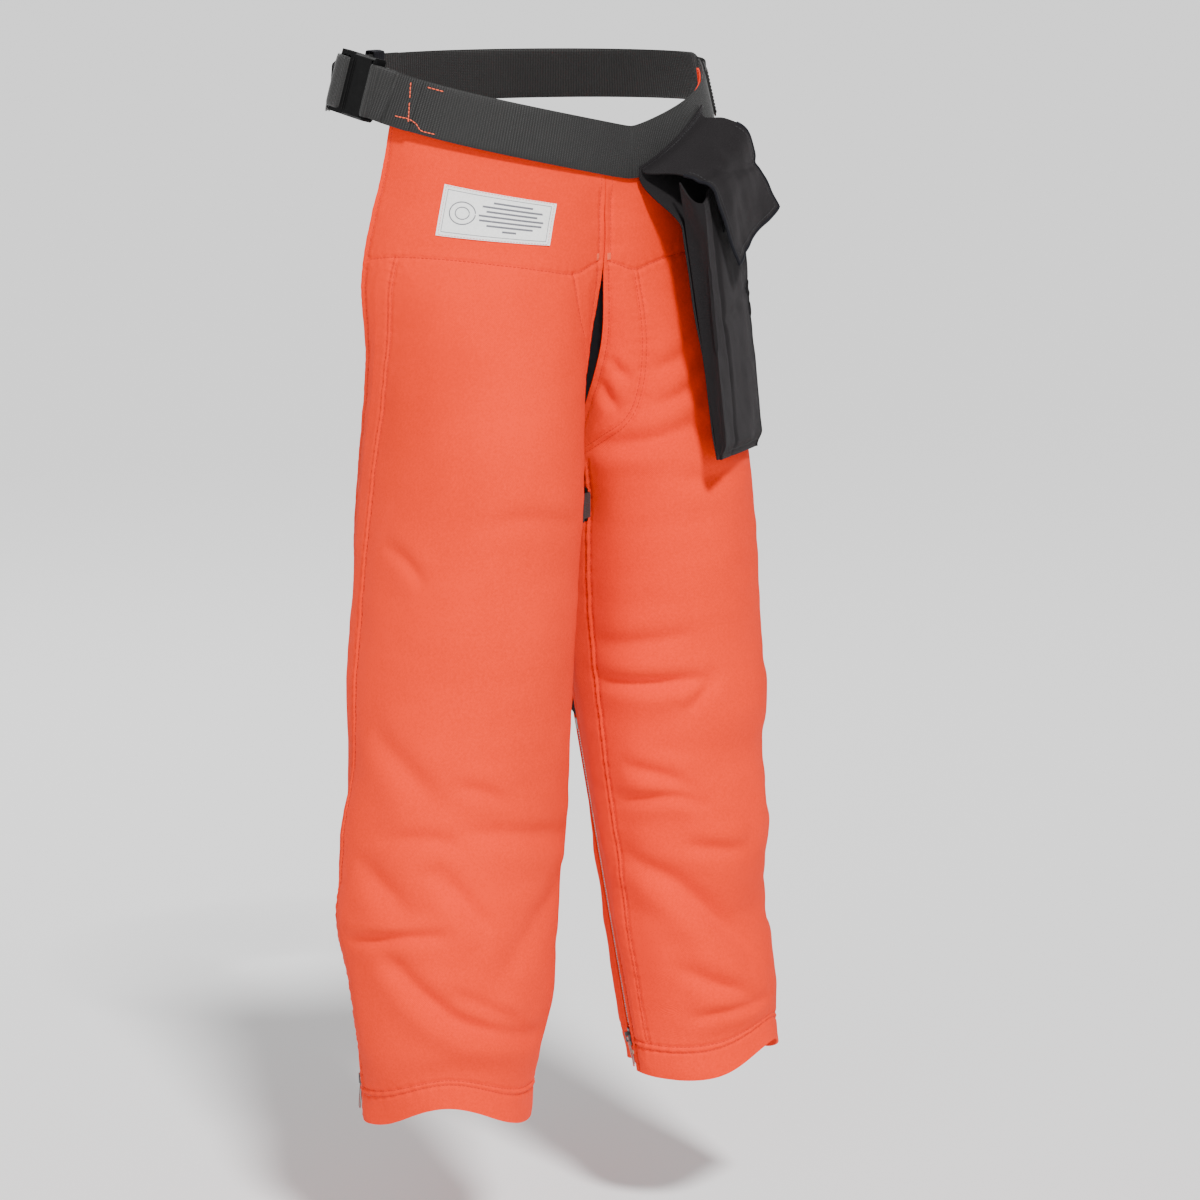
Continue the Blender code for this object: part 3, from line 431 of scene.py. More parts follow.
class Leg:
    """One leg's cloth surface, as in the CAD part, for whole arrays of points at once."""

    def __init__(self, side, sections, zip_line, seam_line, foot_angle):
        self.side = side
        self.rows = np.array(sections)
        self.zip_line = zip_line
        self.seam_line = seam_line
        self.foot_angle = foot_angle
        self.zip_frame = self.line_frame(zip_line)
        self.seam_frame = self.line_frame(seam_line)

    def centre(self, levels):
        middles = np.repeat(self.rows[:, None, 1:3], len(levels), axis=1)
        return cubic(self.rows[:, 0], middles, levels)

    def line_frame(self, line):
        """x down the line, y along the cloth towards growing angle, z outward."""
        top, bottom = Vector(line[0]), Vector(line[1])
        middle = top.lerp(bottom, 0.5)
        outward = middle - Vector((*self.centre(np.array([middle.z]))[0], middle.z))
        x_dir = (bottom - top).normalized()
        y_dir = outward.cross(x_dir).normalized()
        turned = Matrix((x_dir, y_dir, x_dir.cross(y_dir))).transposed().to_4x4()
        return Matrix.Translation(top) @ turned

    def section_points(self, rows, share, inset):
        level, cx, cy, rx, ry, first, last = (rows[:, i][:, None] for i in range(7))
        turn = np.radians(first + (last - first) * share[None, :])
        sine, cosine = np.sin(turn), np.cos(turn)
        outward = np.stack((sine / rx, -cosine / ry), axis=-1)
        outward /= np.linalg.norm(outward, axis=-1, keepdims=True)
        x = cx + rx * sine - outward[..., 0] * inset
        y = cy - ry * cosine - outward[..., 1] * inset
        return np.stack((x, y, np.broadcast_to(level, x.shape)), axis=-1)

    def raw(self, share, level):
        return cubic(self.rows[:, 0], self.section_points(self.rows, share, 0.0), level)

    @staticmethod
    def on_line(line, level):
        top, bottom = np.array(line[0]), np.array(line[1])
        return top + (bottom - top) * ((level - top[2]) / (bottom[2] - top[2]))[:, None]

    def side_gap(self, place, gap, rise=0.0):
        return np.array(place.to_3x3() @ Vector((0.0, gap, rise)))

    def front(self, share, level):
        """Points of the front panel: share 0 is its edge on the wearer's right, 1 on the left."""
        share, level = (np.asarray(value, dtype=float).ravel() for value in (share, level))
        point = self.raw(share, level)
        pull = ease((level - PULL_START) / (PULL_FULL - PULL_START))[:, None]
        edges = (
            (self.zip_line, self.side_gap(self.zip_frame, FRONT_ZIP_GAP), np.zeros_like(share), share),
            (self.seam_line, self.side_gap(self.seam_frame, -SEAM_EDGE_GAP), np.ones_like(share), 1 - share),
        )
        for line, gap, edge, distance in edges:
            shift = (self.on_line(line, level) + gap - self.raw(edge, level)) * pull
            shift[:, 2] = 0.0
            point = point + shift * ease(1.0 - distance / PULL_REACH)[:, None]
        limit = math.copysign(MIDDLE_GAP, self.rows[2, 1])
        clamp = np.minimum if limit < 0 else np.maximum
        point[:, 0] = clamp(point[:, 0], limit)
        top, fall = self.rows[1, 0], self.rows[2, 0]
        dip_share = np.clip((level - fall) / (top - fall), 0.0, 1.0)
        angle = self.rows[0, 5] + (self.rows[0, 6] - self.rows[0, 5]) * share
        point[:, 2] += belt_dip(angle) * dip_share
        middle = self.centre(level)
        turn = np.degrees(np.arctan2(point[:, 0] - middle[:, 0], middle[:, 1] - point[:, 1]))
        away = (turn - self.foot_angle + 180.0) % 360.0 - 180.0
        near_hem = ease((HEM_LEVEL + HEM_FADE - level) / HEM_FADE)
        point[:, 2] += HEM_LIFT * near_hem * np.exp(-(away / HEM_LIFT_WIDTH) ** 2)
        return point

    def wrap(self, share, level):
        """Points of the calf wrap: share 0 is its sewn edge, tucked under the front, and 1 its zip edge."""
        share, level = (np.asarray(value, dtype=float).ravel() for value in (share, level))
        rows = self.rows[5:].copy()
        rows[:, 5], rows[:, 6] = self.rows[5:, 6], self.rows[5:, 5] + 360.0
        point = cubic(rows[:, 0], self.section_points(rows, share, 0.0), level)
        edges = (
            (self.seam_line, self.side_gap(self.seam_frame, -WRAP_TUCK, -WRAP_TUCK_DEPTH), 0.0, share),
            (self.zip_line, self.side_gap(self.zip_frame, -WRAP_ZIP_GAP), 1.0, 1 - share),
        )
        for line, gap, edge, distance in edges:
            end = cubic(rows[:, 0], self.section_points(rows, np.full_like(share, edge), 0.0), level)
            shift = self.on_line(line, level) + gap - end
            shift[:, 2] = 0.0
            point = point + shift * ease(1.0 - distance / PULL_REACH)[:, None]
        return point


RIGHT = Leg("right", RIGHT_SECTIONS, RIGHT_ZIP_LINE, RIGHT_SEAM_LINE, -32.0)
LEFT = Leg("left", LEFT_SECTIONS, LEFT_ZIP_LINE, LEFT_SEAM_LINE, 30.0)


# ---------------------------------------------------------------- seams and folds

# Grid lines of a front panel: each stretch is (its end, its step), closer together beside the long seams
SHARE_STRETCHES = ((0.055, 0.0050), (0.215, 0.0026), (0.820, 0.0050), (0.965, 0.0026), (1.000, 0.0050))
LEVEL_STRETCHES = ((-0.140, 0.0026), (-0.182, 0.0013), (-0.940, 0.0025), (-0.990, 0.0013))
CREASE_GAIN = 1.5
SWELL_AWAY = 2.2
SWELL_WIDTH = 1.5
PANEL_WIDTH = 0.40
HEM_STITCH_LEVEL = -0.956
DOUBLE_STITCH = 0.0060
STITCH_PITCH = 0.0040
SEAM_DEPTH = 0.0015
SEAM_WIDTH = 0.0021
SEAM_RIDGE = 0.0012
PUCKER_PITCH = 0.011
PUCKER_HEIGHT = 0.00022
PUCKER_REACH = 0.009
PUFF_HEIGHT = 0.0024
PUFF_REACH = 0.020
PUFF_SINK = 0.0008
EDGE_SHARE = 0.021

# Each seam is a smooth line through (share, level) points. The number is how many rows of stitches it has.
RIGHT_SEAMS = {
    "yoke": (1, ((0.030, -0.157), (0.163, -0.152), (0.380, -0.152), (0.620, -0.160), (0.856, -0.172),
                 (0.985, -0.158))),
    "pad_outer": (2, ((0.169, -0.154), (0.150, -0.200), (0.130, -0.270), (0.126, -0.360), (0.125, -0.460),
                      (0.140, -0.600), (0.150, -0.720), (0.120, -0.810), (0.100, -0.953))),
    "pad_inner": (1, ((0.856, -0.173), (0.880, -0.210), (0.938, -0.262), (0.945, -0.340), (0.935, -0.560),
                      (0.930, -0.780), (0.930, -0.953))),
    "outer_edge": (1, ((EDGE_SHARE, -0.020), (EDGE_SHARE, -0.300), (EDGE_SHARE, -0.620),
                       (EDGE_SHARE, -0.985))),
    "slit_edge": (1, ((1 - EDGE_SHARE, -0.165), (1 - EDGE_SHARE, -0.400), (1 - EDGE_SHARE, -0.985))),
    "hem": (2, ((0.015, HEM_STITCH_LEVEL), (0.350, HEM_STITCH_LEVEL), (0.700, HEM_STITCH_LEVEL),
                (0.985, HEM_STITCH_LEVEL))),
    "middle": (1, ((0.982, -0.020), (0.982, -0.090), (0.982, -0.158))),
}
LEFT_SEAMS = {
    "yoke": (1, ((0.020, -0.160), (0.131, -0.172), (0.306, -0.156), (0.600, -0.151), (0.850, -0.152),
                 (0.970, -0.156))),
    "pad_curve": (2, ((0.138, -0.174), (0.158, -0.230), (0.176, -0.290), (0.158, -0.322), (0.094, -0.342),
                      (0.040, -0.358))),
    "pad_inner": (2, ((0.069, -0.362), (0.100, -0.404), (0.138, -0.504), (0.175, -0.600), (0.190, -0.680),
                      (0.198, -0.768), (0.172, -0.840), (0.138, -0.900), (0.130, -0.953))),
    "pad_outer": (2, ((0.840, -0.153), (0.860, -0.230), (0.872, -0.360), (0.862, -0.560), (0.850, -0.720),
                      (0.872, -0.820), (0.890, -0.953))),
    "outer_edge": (1, ((1 - EDGE_SHARE, -0.020), (1 - EDGE_SHARE, -0.400), (1 - EDGE_SHARE, -0.985))),
    "slit_edge": (1, ((EDGE_SHARE, -0.165), (EDGE_SHARE, -0.400), (EDGE_SHARE, -0.985))),
    "hem": (2, ((0.015, HEM_STITCH_LEVEL), (0.350, HEM_STITCH_LEVEL), (0.700, HEM_STITCH_LEVEL),
                (0.985, HEM_STITCH_LEVEL))),
    "middle": (1, ((0.030, -0.020), (0.030, -0.090), (0.030, -0.158))),
}

# Each crease: its points (share, level), valley depth, half width, and the swells above and below it, in mm.
RIGHT_CREASES = (
    (((0.47, -0.400), (0.58, -0.394), (0.76, -0.408)), 2.2, 9, 1.0, 1.6),
    (((0.20, -0.424), (0.27, -0.436), (0.33, -0.458)), 2.0, 7, 1.0, 0.8),
    (((0.22, -0.600), (0.34, -0.640), (0.41, -0.668)), 3.2, 12, 1.2, 2.0),
    (((0.43, -0.646), (0.49, -0.652), (0.55, -0.664)), 2.2, 7, 1.4, 0.8),
    (((0.44, -0.690), (0.56, -0.694), (0.80, -0.712)), 3.8, 10, 1.3, 2.2),
    (((0.27, -0.705), (0.39, -0.697), (0.48, -0.711)), 2.6, 8, 1.5, 1.5),
    (((0.22, -0.722), (0.31, -0.752), (0.36, -0.775)), 3.4, 11, 1.0, 2.2),
    (((0.40, -0.722), (0.46, -0.752), (0.53, -0.790)), 3.0, 9, 0.8, 3.0),
    (((0.20, -0.803), (0.32, -0.793), (0.43, -0.788)), 3.6, 6, 3.2, 1.5),
    (((0.29, -0.806), (0.38, -0.850), (0.49, -0.880), (0.72, -0.905)), 5.2, 9, 2.2, 3.4),
    (((0.43, -0.842), (0.51, -0.860), (0.62, -0.884)), 3.2, 7, 2.0, 1.6),
    (((0.52, -0.850), (0.64, -0.790), (0.80, -0.745)), 2.2, 14, 1.0, 1.0),
    (((0.10, -0.640), (0.06, -0.700), (0.03, -0.760)), 2.0, 12, 1.0, 2.0),
)
LEFT_CREASES = (
    (((0.16, -0.542), (0.29, -0.536), (0.42, -0.527)), 2.4, 8, 1.4, 1.2),
    (((0.17, -0.580), (0.31, -0.578), (0.47, -0.572)), 4.4, 7, 2.6, 2.2),
    (((0.48, -0.575), (0.44, -0.590), (0.41, -0.606)), 3.0, 7, 1.0, 2.0),
    (((0.24, -0.662), (0.35, -0.672), (0.45, -0.688)), 2.8, 7, 1.6, 1.6),
    (((0.22, -0.702), (0.36, -0.692), (0.46, -0.703)), 2.6, 6, 1.8, 1.4),
    (((0.39, -0.742), (0.47, -0.747), (0.56, -0.752)), 3.4, 8, 2.6, 1.2),
    (((0.20, -0.752), (0.35, -0.780), (0.44, -0.815), (0.56, -0.862)), 5.0, 11, 1.2, 3.6),
    (((0.31, -0.870), (0.43, -0.890), (0.58, -0.918)), 3.2, 8, 2.4, 1.6),
    (((0.31, -0.926), (0.43, -0.920), (0.60, -0.922)), 2.6, 6, 1.6, 1.4),
    (((0.07, -0.346), (0.24, -0.337), (0.42, -0.318)), 3.4, 8, 1.8, 2.2),
    (((0.33, -0.378), (0.45, -0.374), (0.58, -0.370)), 2.4, 9, 1.4, 1.4),
    (((0.03, -0.282), (0.07, -0.296), (0.12, -0.310)), 2.6, 6, 1.4, 1.2),
    (((0.04, -0.258), (0.08, -0.270), (0.13, -0.280)), 1.8, 5, 1.0, 0.8),
    (((0.20, -0.270), (0.27, -0.262), (0.34, -0.250)), 1.8, 7, 1.0, 0.8),
    (((0.22, -0.306), (0.30, -0.296), (0.38, -0.280)), 1.8, 6, 1.0, 0.8),
    (((0.72, -0.566), (0.78, -0.570), (0.84, -0.580)), 2.0, 9, 1.2, 1.2),
    (((0.71, -0.706), (0.78, -0.716), (0.85, -0.720)), 2.4, 10, 1.2, 1.2),
    (((0.73, -0.836), (0.79, -0.832), (0.86, -0.842)), 2.4, 10, 1.4, 1.0),
)
# Each swell: share, level, half sizes in share and in metres of level, height in mm (negative: a hollow)
RIGHT_SWELLS = (
    (0.06, -0.790, 0.24, 0.075, 11.0), (0.10, -0.640, 0.20, 0.040, -3.0), (0.42, -0.620, 0.26, 0.120, 3.0),
    (0.80, -0.690, 0.16, 0.050, 3.0), (0.70, -0.930, 0.24, 0.040, -3.0), (0.30, -0.905, 0.18, 0.030, 3.5),
)
LEFT_SWELLS = (
    (0.60, -0.600, 0.16, 0.034, 5.0), (0.58, -0.655, 0.16, 0.026, -6.0), (0.60, -0.745, 0.18, 0.042, 7.0),
    (0.58, -0.822, 0.16, 0.028, -8.0), (0.60, -0.900, 0.18, 0.045, 6.0), (0.30, -0.440, 0.24, 0.080, 2.5),
)


def graded(start, stretches):
    """Grid lines from start through stretches of (end, step)."""
    lines = [np.array([start])]
    for end, step in stretches:
        count = max(int(round(abs(end - start) / step)), 1)
        lines.append(np.linspace(start, end, count + 1)[1:])
        start = end
    return np.concatenate(lines)


SHARE_LINES = graded(0.0, SHARE_STRETCHES)
LEVEL_LINES = graded(TOP_LEVEL, LEVEL_STRETCHES)


def smooth_noise(points, scale, seed):
    """Slow random waves, about -1 to 1: a few sines with seeded directions around one wavelength."""
    generator = np.random.default_rng(seed)
    total = np.zeros(len(points))
    waves = 14
    for _ in range(waves):
        direction = generator.normal(size=3)
        direction /= np.linalg.norm(direction)
        length = generator.uniform(0.7, 1.5)
        phase = generator.uniform(0, 2 * math.pi)
        total += np.sin((points * (2 * math.pi / np.array(scale))) @ direction / length + phase)
    return total * math.sqrt(2.0 / waves) / 1.6


def line_distance(points, line, reach):
    """For points near a polyline: their index, distance, place along it, and nearest sample's index."""
    low, high = line.min(axis=0) - reach, line.max(axis=0) + reach
    near = np.flatnonzero(((points > low) & (points < high)).all(axis=1))
    if not len(near):
        return near, None, None, None
    gaps = np.linalg.norm(points[near][:, None, :] - line[None, :, :], axis=2)
    nearest = gaps.argmin(axis=1)
    lengths = np.concatenate(([0.0], np.cumsum(np.linalg.norm(np.diff(line, axis=0), axis=1))))
    return near, gaps[np.arange(len(near)), nearest], lengths[nearest], nearest


class Panel:
    """The cloth of one leg's front: its base surface with seams, creases, swells and slow waves."""

    def __init__(self, leg, seams, creases, swells):
        self.leg = leg
        self.seams = seams
        self.share, self.level = np.meshgrid(SHARE_LINES, LEVEL_LINES)
        self.base = leg.front(self.share, self.level).reshape(*self.share.shape, 3)
        self.normal = grid_normals(self.base)
        flat = self.base.reshape(-1, 3)
        slow = self.waves(flat)
        for item in swells:
            slow += self.swell(*item)
        for item in creases:
            slow += self.crease(flat, *item)
        fade = self.edge_fade()
        self.slow = slow.reshape(self.share.shape) * fade
        stitched = self.puff(flat).reshape(self.share.shape)
        self.relief = self.slow + stitched * ease((-0.036 - self.level) / 0.02)
        self.grid = self.base + self.normal * self.relief[..., None]

    def edge_fade(self):
        """Where the cloth is held: under the belt, and along the calf's zip and seam."""
        below = ease((-0.034 - self.level) / 0.05)
        from_edge = np.minimum(self.share, 1.0 - self.share) * PANEL_WIDTH
        pull = ease((self.level - (PULL_START + 0.03)) / (PULL_FULL - PULL_START))
        held = 1.0 - pull * (1.0 - ease((from_edge - 0.004) / 0.035))
        return below * held

    def waves(self, flat):
        level = self.level.ravel()
        low = ease((-0.52 - level) / 0.25)
        broad = smooth_noise(flat, (0.16, 0.16, 0.30), 3) * 0.0016
        turned = flat @ np.array(Matrix.Rotation(math.radians(28), 3, "Y"))
        diagonal = smooth_noise(turned, (0.16, 0.16, 0.075), 8) * 0.0009 * (0.25 + low)
        small = smooth_noise(flat, (0.05, 0.05, 0.035), 5) * 0.00045
        return broad + diagonal + small

    def swell(self, share, level, wide, tall, height):
        away = ((self.share - share) / wide) ** 2 + ((self.level - level) / tall) ** 2
        return (height / 1000.0 * np.exp(-away)).ravel()

    def crease(self, flat, knots, depth, width, above, below):
        width = width / 1000.0
        depth, above, below = (value / 1000.0 * CREASE_GAIN for value in (depth, above, below))
        line = self.leg.front(*through(knots, 60).T)
        near, gap, along, nearest = line_distance(flat, line, width * 5)
        result = np.zeros(len(flat))
        if not len(near):
            return result
        away = flat[near] - line[nearest]
        tangent = np.gradient(line, axis=0)[nearest]
        side = np.sign(np.einsum("ij,ij->i", np.cross(self.normal.reshape(-1, 3)[near], tangent), away))
        signed = gap * side
        taper = 0.12 + 0.88 * np.sin(np.pi * np.clip(along / along.max(), 0.0, 1.0)) ** 0.7
        valley = -depth * np.exp(-(signed / width) ** 2)
        upper = above * np.exp(-((signed - SWELL_AWAY * width) / (SWELL_WIDTH * width)) ** 2)
        lower = below * np.exp(-((signed + SWELL_AWAY * width) / (SWELL_WIDTH * width)) ** 2)
        result[near] = (valley + upper + lower) * taper
        return result

    def puff(self, flat):
        """Stitches pull the cloth down into the padding, and it swells between them."""
        nearest_seam = np.full(len(flat), 1.0)
        relief = np.zeros(len(flat))
        for rows, knots in self.seams.values():
            for number in range(rows):
                line = self.leg.front(*self.seam_track(knots, number).T)
                near, gap, along, _ = line_distance(flat, line, 0.06)
                if not len(near):
                    continue
                nearest_seam[near] = np.minimum(nearest_seam[near], gap)
                relief[near] -= SEAM_DEPTH * np.exp(-(gap / SEAM_WIDTH) ** 2)
                pucker = np.sin(along * 2 * math.pi / PUCKER_PITCH + 3.0 * np.sin(along * 31.0))
                relief[near] += PUCKER_HEIGHT * pucker * np.exp(-(gap / PUCKER_REACH) ** 2)
            if rows > 1:
                line = self.leg.front(*self.seam_track(knots, 0.5).T)
                near, gap, _, _ = line_distance(flat, line, 0.012)
                relief[near] += SEAM_RIDGE * np.exp(-(gap / SEAM_WIDTH) ** 2)
        return relief + PUFF_HEIGHT * (1.0 - np.exp(-(nearest_seam / PUFF_REACH) ** 2)) - PUFF_SINK

    def seam_track(self, knots, number, count=220):
        """(share, level) points of one row of stitches; a second row runs beside the first."""
        track = through(knots, count)
        if number:
            slope = np.gradient(track, axis=0) * np.array((PANEL_WIDTH, 1.0))
            slope /= np.linalg.norm(slope, axis=1, keepdims=True)
            beside = np.stack((slope[:, 1] / PANEL_WIDTH, -slope[:, 0]), axis=1)
            track = track + beside * DOUBLE_STITCH * number
        return track

    def read(self, field, share, level):
        """A grid field between its rows and columns."""
        column = np.interp(share, SHARE_LINES, np.arange(len(SHARE_LINES)))
        row = np.interp(-np.asarray(level), -LEVEL_LINES, np.arange(len(LEVEL_LINES)))
        column, row = np.minimum(column, len(SHARE_LINES) - 1.001), np.minimum(row, len(LEVEL_LINES) - 1.001)
        i, j = row.astype(int), column.astype(int)
        a, b = (row - i)[:, None], (column - j)[:, None]
        return (field[i, j] * (1 - a) * (1 - b) + field[i + 1, j] * a * (1 - b)
                + field[i, j + 1] * (1 - a) * b + field[i + 1, j + 1] * a * b)

    def at(self, share, level, lift=0.0):
        share, level = np.broadcast_arrays(np.atleast_1d(share), np.atleast_1d(level))
        normal = self.read(grid_normals(self.grid), share, level)
        return self.read(self.grid, share, level) + normal * lift

    def inner(self, depth, levels, shares, step):
        """Part of a layer inside the shell: it follows the slow folds, and its depth is a grid."""
        grid = (self.base + self.normal * (self.slow - depth)[..., None])
        first, last = np.searchsorted(-LEVEL_LINES, (-levels[0], -levels[1]))
        left, right = np.searchsorted(SHARE_LINES, shares)
        return grid[first:last:step, left:right:step]


RIGHT_PANEL = Panel(RIGHT, RIGHT_SEAMS, RIGHT_CREASES, RIGHT_SWELLS)
LEFT_PANEL = Panel(LEFT, LEFT_SEAMS, LEFT_CREASES, LEFT_SWELLS)


# ---------------------------------------------------------------- cloth of the legs

LINING_EDGE_DEPTH = 0.0046
LINING_DROP = 0.0046
LINING_QUILT = 0.0005
LINING_MARGIN = 0.010
LINING_LEVELS = (-0.020, -0.957)
LINING_SHARES = (0.027, 0.973)
PAD_DEPTH = 0.0045
PAD_LEVELS = (-0.176, -0.907)
PAD_SHARES = (0.080, 0.920)
PAD_EDGE = 0.0008
PAD_SWELL = 0.0024
EDGE_FOLD = 0.0095
HEM_FOLD = 0.034


def make_shell(panel):
    side = panel.leg.side
    from_edge = np.minimum(panel.share, 1.0 - panel.share) * PANEL_WIDTH
    from_hem = panel.level - HEM_LEVEL
    folded = np.maximum(ease((EDGE_FOLD - from_edge) / 0.002), ease((HEM_FOLD - from_hem) / 0.003))
    thickness = CLOTH_THICKNESS + (HEM_THICKNESS - CLOTH_THICKNESS) * folded
    mesh = skin_mesh(f"outer_cloth_{side}", panel.grid, thickness)
    piece = finish_piece(f"outer_cloth_{side}", mesh, ORANGE_CLOTH, CHAPS, (f"shell_{side}",))


def make_lining(panel):
    side = panel.leg.side
    from_edge = np.minimum(panel.share, 1.0 - panel.share) * PANEL_WIDTH - LINING_MARGIN
    from_hem = panel.level - (HEM_LEVEL + 0.036)
    from_top = LINING_LEVELS[0] - panel.level
    open_share = ease(np.minimum(np.minimum(from_edge, from_hem), from_top) / 0.030)
    quilt = smooth_noise(panel.base.reshape(-1, 3), (0.06, 0.06, 0.10), 21).reshape(panel.share.shape)
    depth = LINING_EDGE_DEPTH + (LINING_DROP + LINING_QUILT * quilt) * open_share
    grid = panel.inner(depth, LINING_LEVELS, LINING_SHARES, 2)
    mesh = skin_mesh(f"inner_lining_{side}", grid, LINING_THICKNESS)
    piece = finish_piece(f"inner_lining_{side}", mesh, LINING_CLOTH, CHAPS,
                         (f"lining_{side}",))


def make_pad(panel):
    side = panel.leg.side
    depth = np.full(panel.share.shape, PAD_DEPTH)
    grid = panel.inner(depth, PAD_LEVELS, PAD_SHARES, 3)
    counts = [np.minimum(np.arange(size), np.arange(size)[::-1]) for size in (grid.shape[1], grid.shape[0])]
    edge = np.minimum.reduce(np.meshgrid(*counts))
    thickness = PAD_EDGE + PAD_SWELL * ease(edge / 5.0)
    mesh = skin_mesh(f"fibre_pad_{side}", grid, thickness)
    piece = finish_piece(f"fibre_pad_{side}", mesh, PAD_FIBRE, CHAPS,
                         (f"protective_pad_{side}",))


WRAP_COLUMNS = 150
WRAP_ROWS = 220
WRAP_STITCH_LEVELS = (WRAP_TOP_LEVEL - 0.012, HEM_STITCH_LEVEL, HEM_STITCH_LEVEL - DOUBLE_STITCH)
WRAP_WIDTH = 0.30
WRAP_STITCH_INSET = 0.0090
WRAP_GROOVE = 0.0022
WRAP_EDGE_FOLD = 0.008
WRAP_TOP_FOLD = 0.014
WRAP_HOLLOW = {"right": 0.002, "left": 0.010}


def wrap_grid(leg):
    share = np.linspace(0.0, 1.0, WRAP_COLUMNS)
    level = np.linspace(WRAP_TOP_LEVEL, HEM_LEVEL, WRAP_ROWS)
    share, level = np.meshgrid(share, level)
    base = leg.wrap(share, level).reshape(WRAP_ROWS, WRAP_COLUMNS, 3)
    normal = grid_normals(base)
    flat = base.reshape(-1, 3)
    relief = (smooth_noise(flat, (0.12, 0.12, 0.34), 31) * 0.0030
              + smooth_noise(flat, (0.07, 0.07, 0.06), 32) * 0.0012
              + smooth_noise(flat, (0.03, 0.03, 0.03), 33) * 0.0003).reshape(share.shape)
    from_edge = np.minimum(share, 1.0 - share) * WRAP_WIDTH
    held = ease((from_edge - 0.006) / 0.035)
    free = ease((WRAP_TOP_LEVEL - level) / 0.05) * 0.6 + 0.4
    grooves = -0.0008 * np.exp(-((from_edge - WRAP_STITCH_INSET) / WRAP_GROOVE) ** 2)
    for row_level in WRAP_STITCH_LEVELS:
        grooves -= 0.0009 * np.exp(-((level - row_level) / WRAP_GROOVE) ** 2)
    from_zip = (1.0 - share) * WRAP_WIDTH
    hollow = WRAP_HOLLOW[leg.side] * np.exp(-((from_zip - 0.034) / 0.021) ** 2)
    return base + normal * (relief * held * free + grooves - hollow)[..., None], share, level


def make_wrap(leg):
    side = leg.side
    grid, share, level = wrap_grid(leg)
    from_edge = np.minimum(share, 1.0 - share) * WRAP_WIDTH
    hems = np.maximum(ease((HEM_FOLD - (level - HEM_LEVEL)) / 0.003),
                      ease((WRAP_TOP_FOLD - (WRAP_TOP_LEVEL - level)) / 0.003))
    folded = np.maximum(ease((WRAP_EDGE_FOLD - from_edge) / 0.002), hems)
    thickness = CLOTH_THICKNESS + (HEM_THICKNESS - CLOTH_THICKNESS) * 0.6 * folded
    mesh = skin_mesh(f"calf_wrap_cloth_{side}", grid, thickness)
    piece = finish_piece(f"calf_wrap_cloth_{side}", mesh, ORANGE_CLOTH, f"calf_wrap_{side}",
                         (f"calf_wrap_{side}",))


for each_panel in (RIGHT_PANEL, LEFT_PANEL):
    make_shell(each_panel)
    make_lining(each_panel)
    make_pad(each_panel)
    make_wrap(each_panel.leg)


# ---------------------------------------------------------------- bands, tubes and stitches

BAND_COLUMNS = 13
THREAD_RADIUS = 0.00034
THREAD_SHARE = 0.78


def unit(vectors):
    return vectors / np.maximum(np.linalg.norm(vectors, axis=-1, keepdims=True), 1e-12)


def spaced(track, step):
    """Rows of a track at even distances along its first three columns, and those distances."""
    lengths = np.concatenate(([0.0], np.cumsum(np.linalg.norm(np.diff(track[:, :3], axis=0), axis=1))))
    count = max(int(round(lengths[-1] / step)), 2)
    at = np.linspace(0.0, lengths[-1], count + 1)
    return np.stack([np.interp(at, lengths, column) for column in track.T], axis=1), at


def loft_mesh(name, rings, closed=False, uvs=None, smooth=True):
    """A tube through rings of points that turn anticlockwise about the way it runs."""
    count, sides = rings.shape[:2]
    index = np.arange(count * sides).reshape(count, sides)
    following = np.roll(index, -1, axis=0) if closed else index[1:]
    here = index if closed else index[:-1]
    quads = np.stack((here, np.roll(here, -1, axis=1), np.roll(following, -1, axis=1), following), axis=-1)
    faces = quads.reshape(-1, 4).tolist()
    if not closed:
        faces += [index[0, ::-1].tolist(), index[-1].tolist()]
    return mesh_from(name, rings.reshape(-1, 3), faces, uvs, smooth)


def band_mesh(name, centres, ups, width, thickness, pitch=RIB_PITCH, ribs=0.00024):
    """Ribbed webbing along a path, closed all round, with rounded selvedges."""
    track, at = spaced(np.hstack((centres, ups)), pitch / 5)
    centre = track[:, :3]
    along = unit(np.gradient(centre, axis=0))
    outward = unit(np.cross(track[:, 3:], along))
    up = np.cross(along, outward)
    across = np.sin(np.linspace(-math.pi / 2, math.pi / 2, BAND_COLUMNS))
    face = np.sqrt(np.clip(1.0 - np.abs(across) ** 12, 0.0, 1.0))
    across = np.concatenate((across, across[-2:0:-1]))
    face = np.concatenate((face, -face[-2:0:-1]))
    wave = np.cos(at * 2 * math.pi / pitch)[:, None]
    height = face[None, :] * (thickness / 2 + ribs * wave)
    rings = (centre[:, None] + up[:, None] * (across * width / 2)[None, :, None]
             + outward[:, None] * height[..., None])
    uv = np.stack(np.broadcast_arrays(at[:, None], (across * width / 2)[None, :]), axis=-1)
    return loft_mesh(name, rings, uvs=uv.reshape(-1, 2))


def tube_rings(path, hint, radius, sides=8, flat=1.0, closed=False):
    """Rings round a path; hint is roughly square to it, and flat squashes the tube along hint."""
    if closed:
        along = unit(np.roll(path, -1, axis=0) - np.roll(path, 1, axis=0))
    else:
        along = unit(np.gradient(path, axis=0))
    hint = np.broadcast_to(np.asarray(hint, dtype=float), path.shape)
    side = unit(np.cross(along, hint))
    raised = np.cross(side, along)
    turn = np.linspace(0.0, 2 * math.pi, sides, endpoint=False)
    radius = np.broadcast_to(np.asarray(radius, dtype=float), (len(path),))[:, None, None]
    return (path[:, None] + side[:, None] * np.sin(turn)[None, :, None] * radius * -1.0
            + raised[:, None] * np.cos(turn)[None, :, None] * radius * flat)


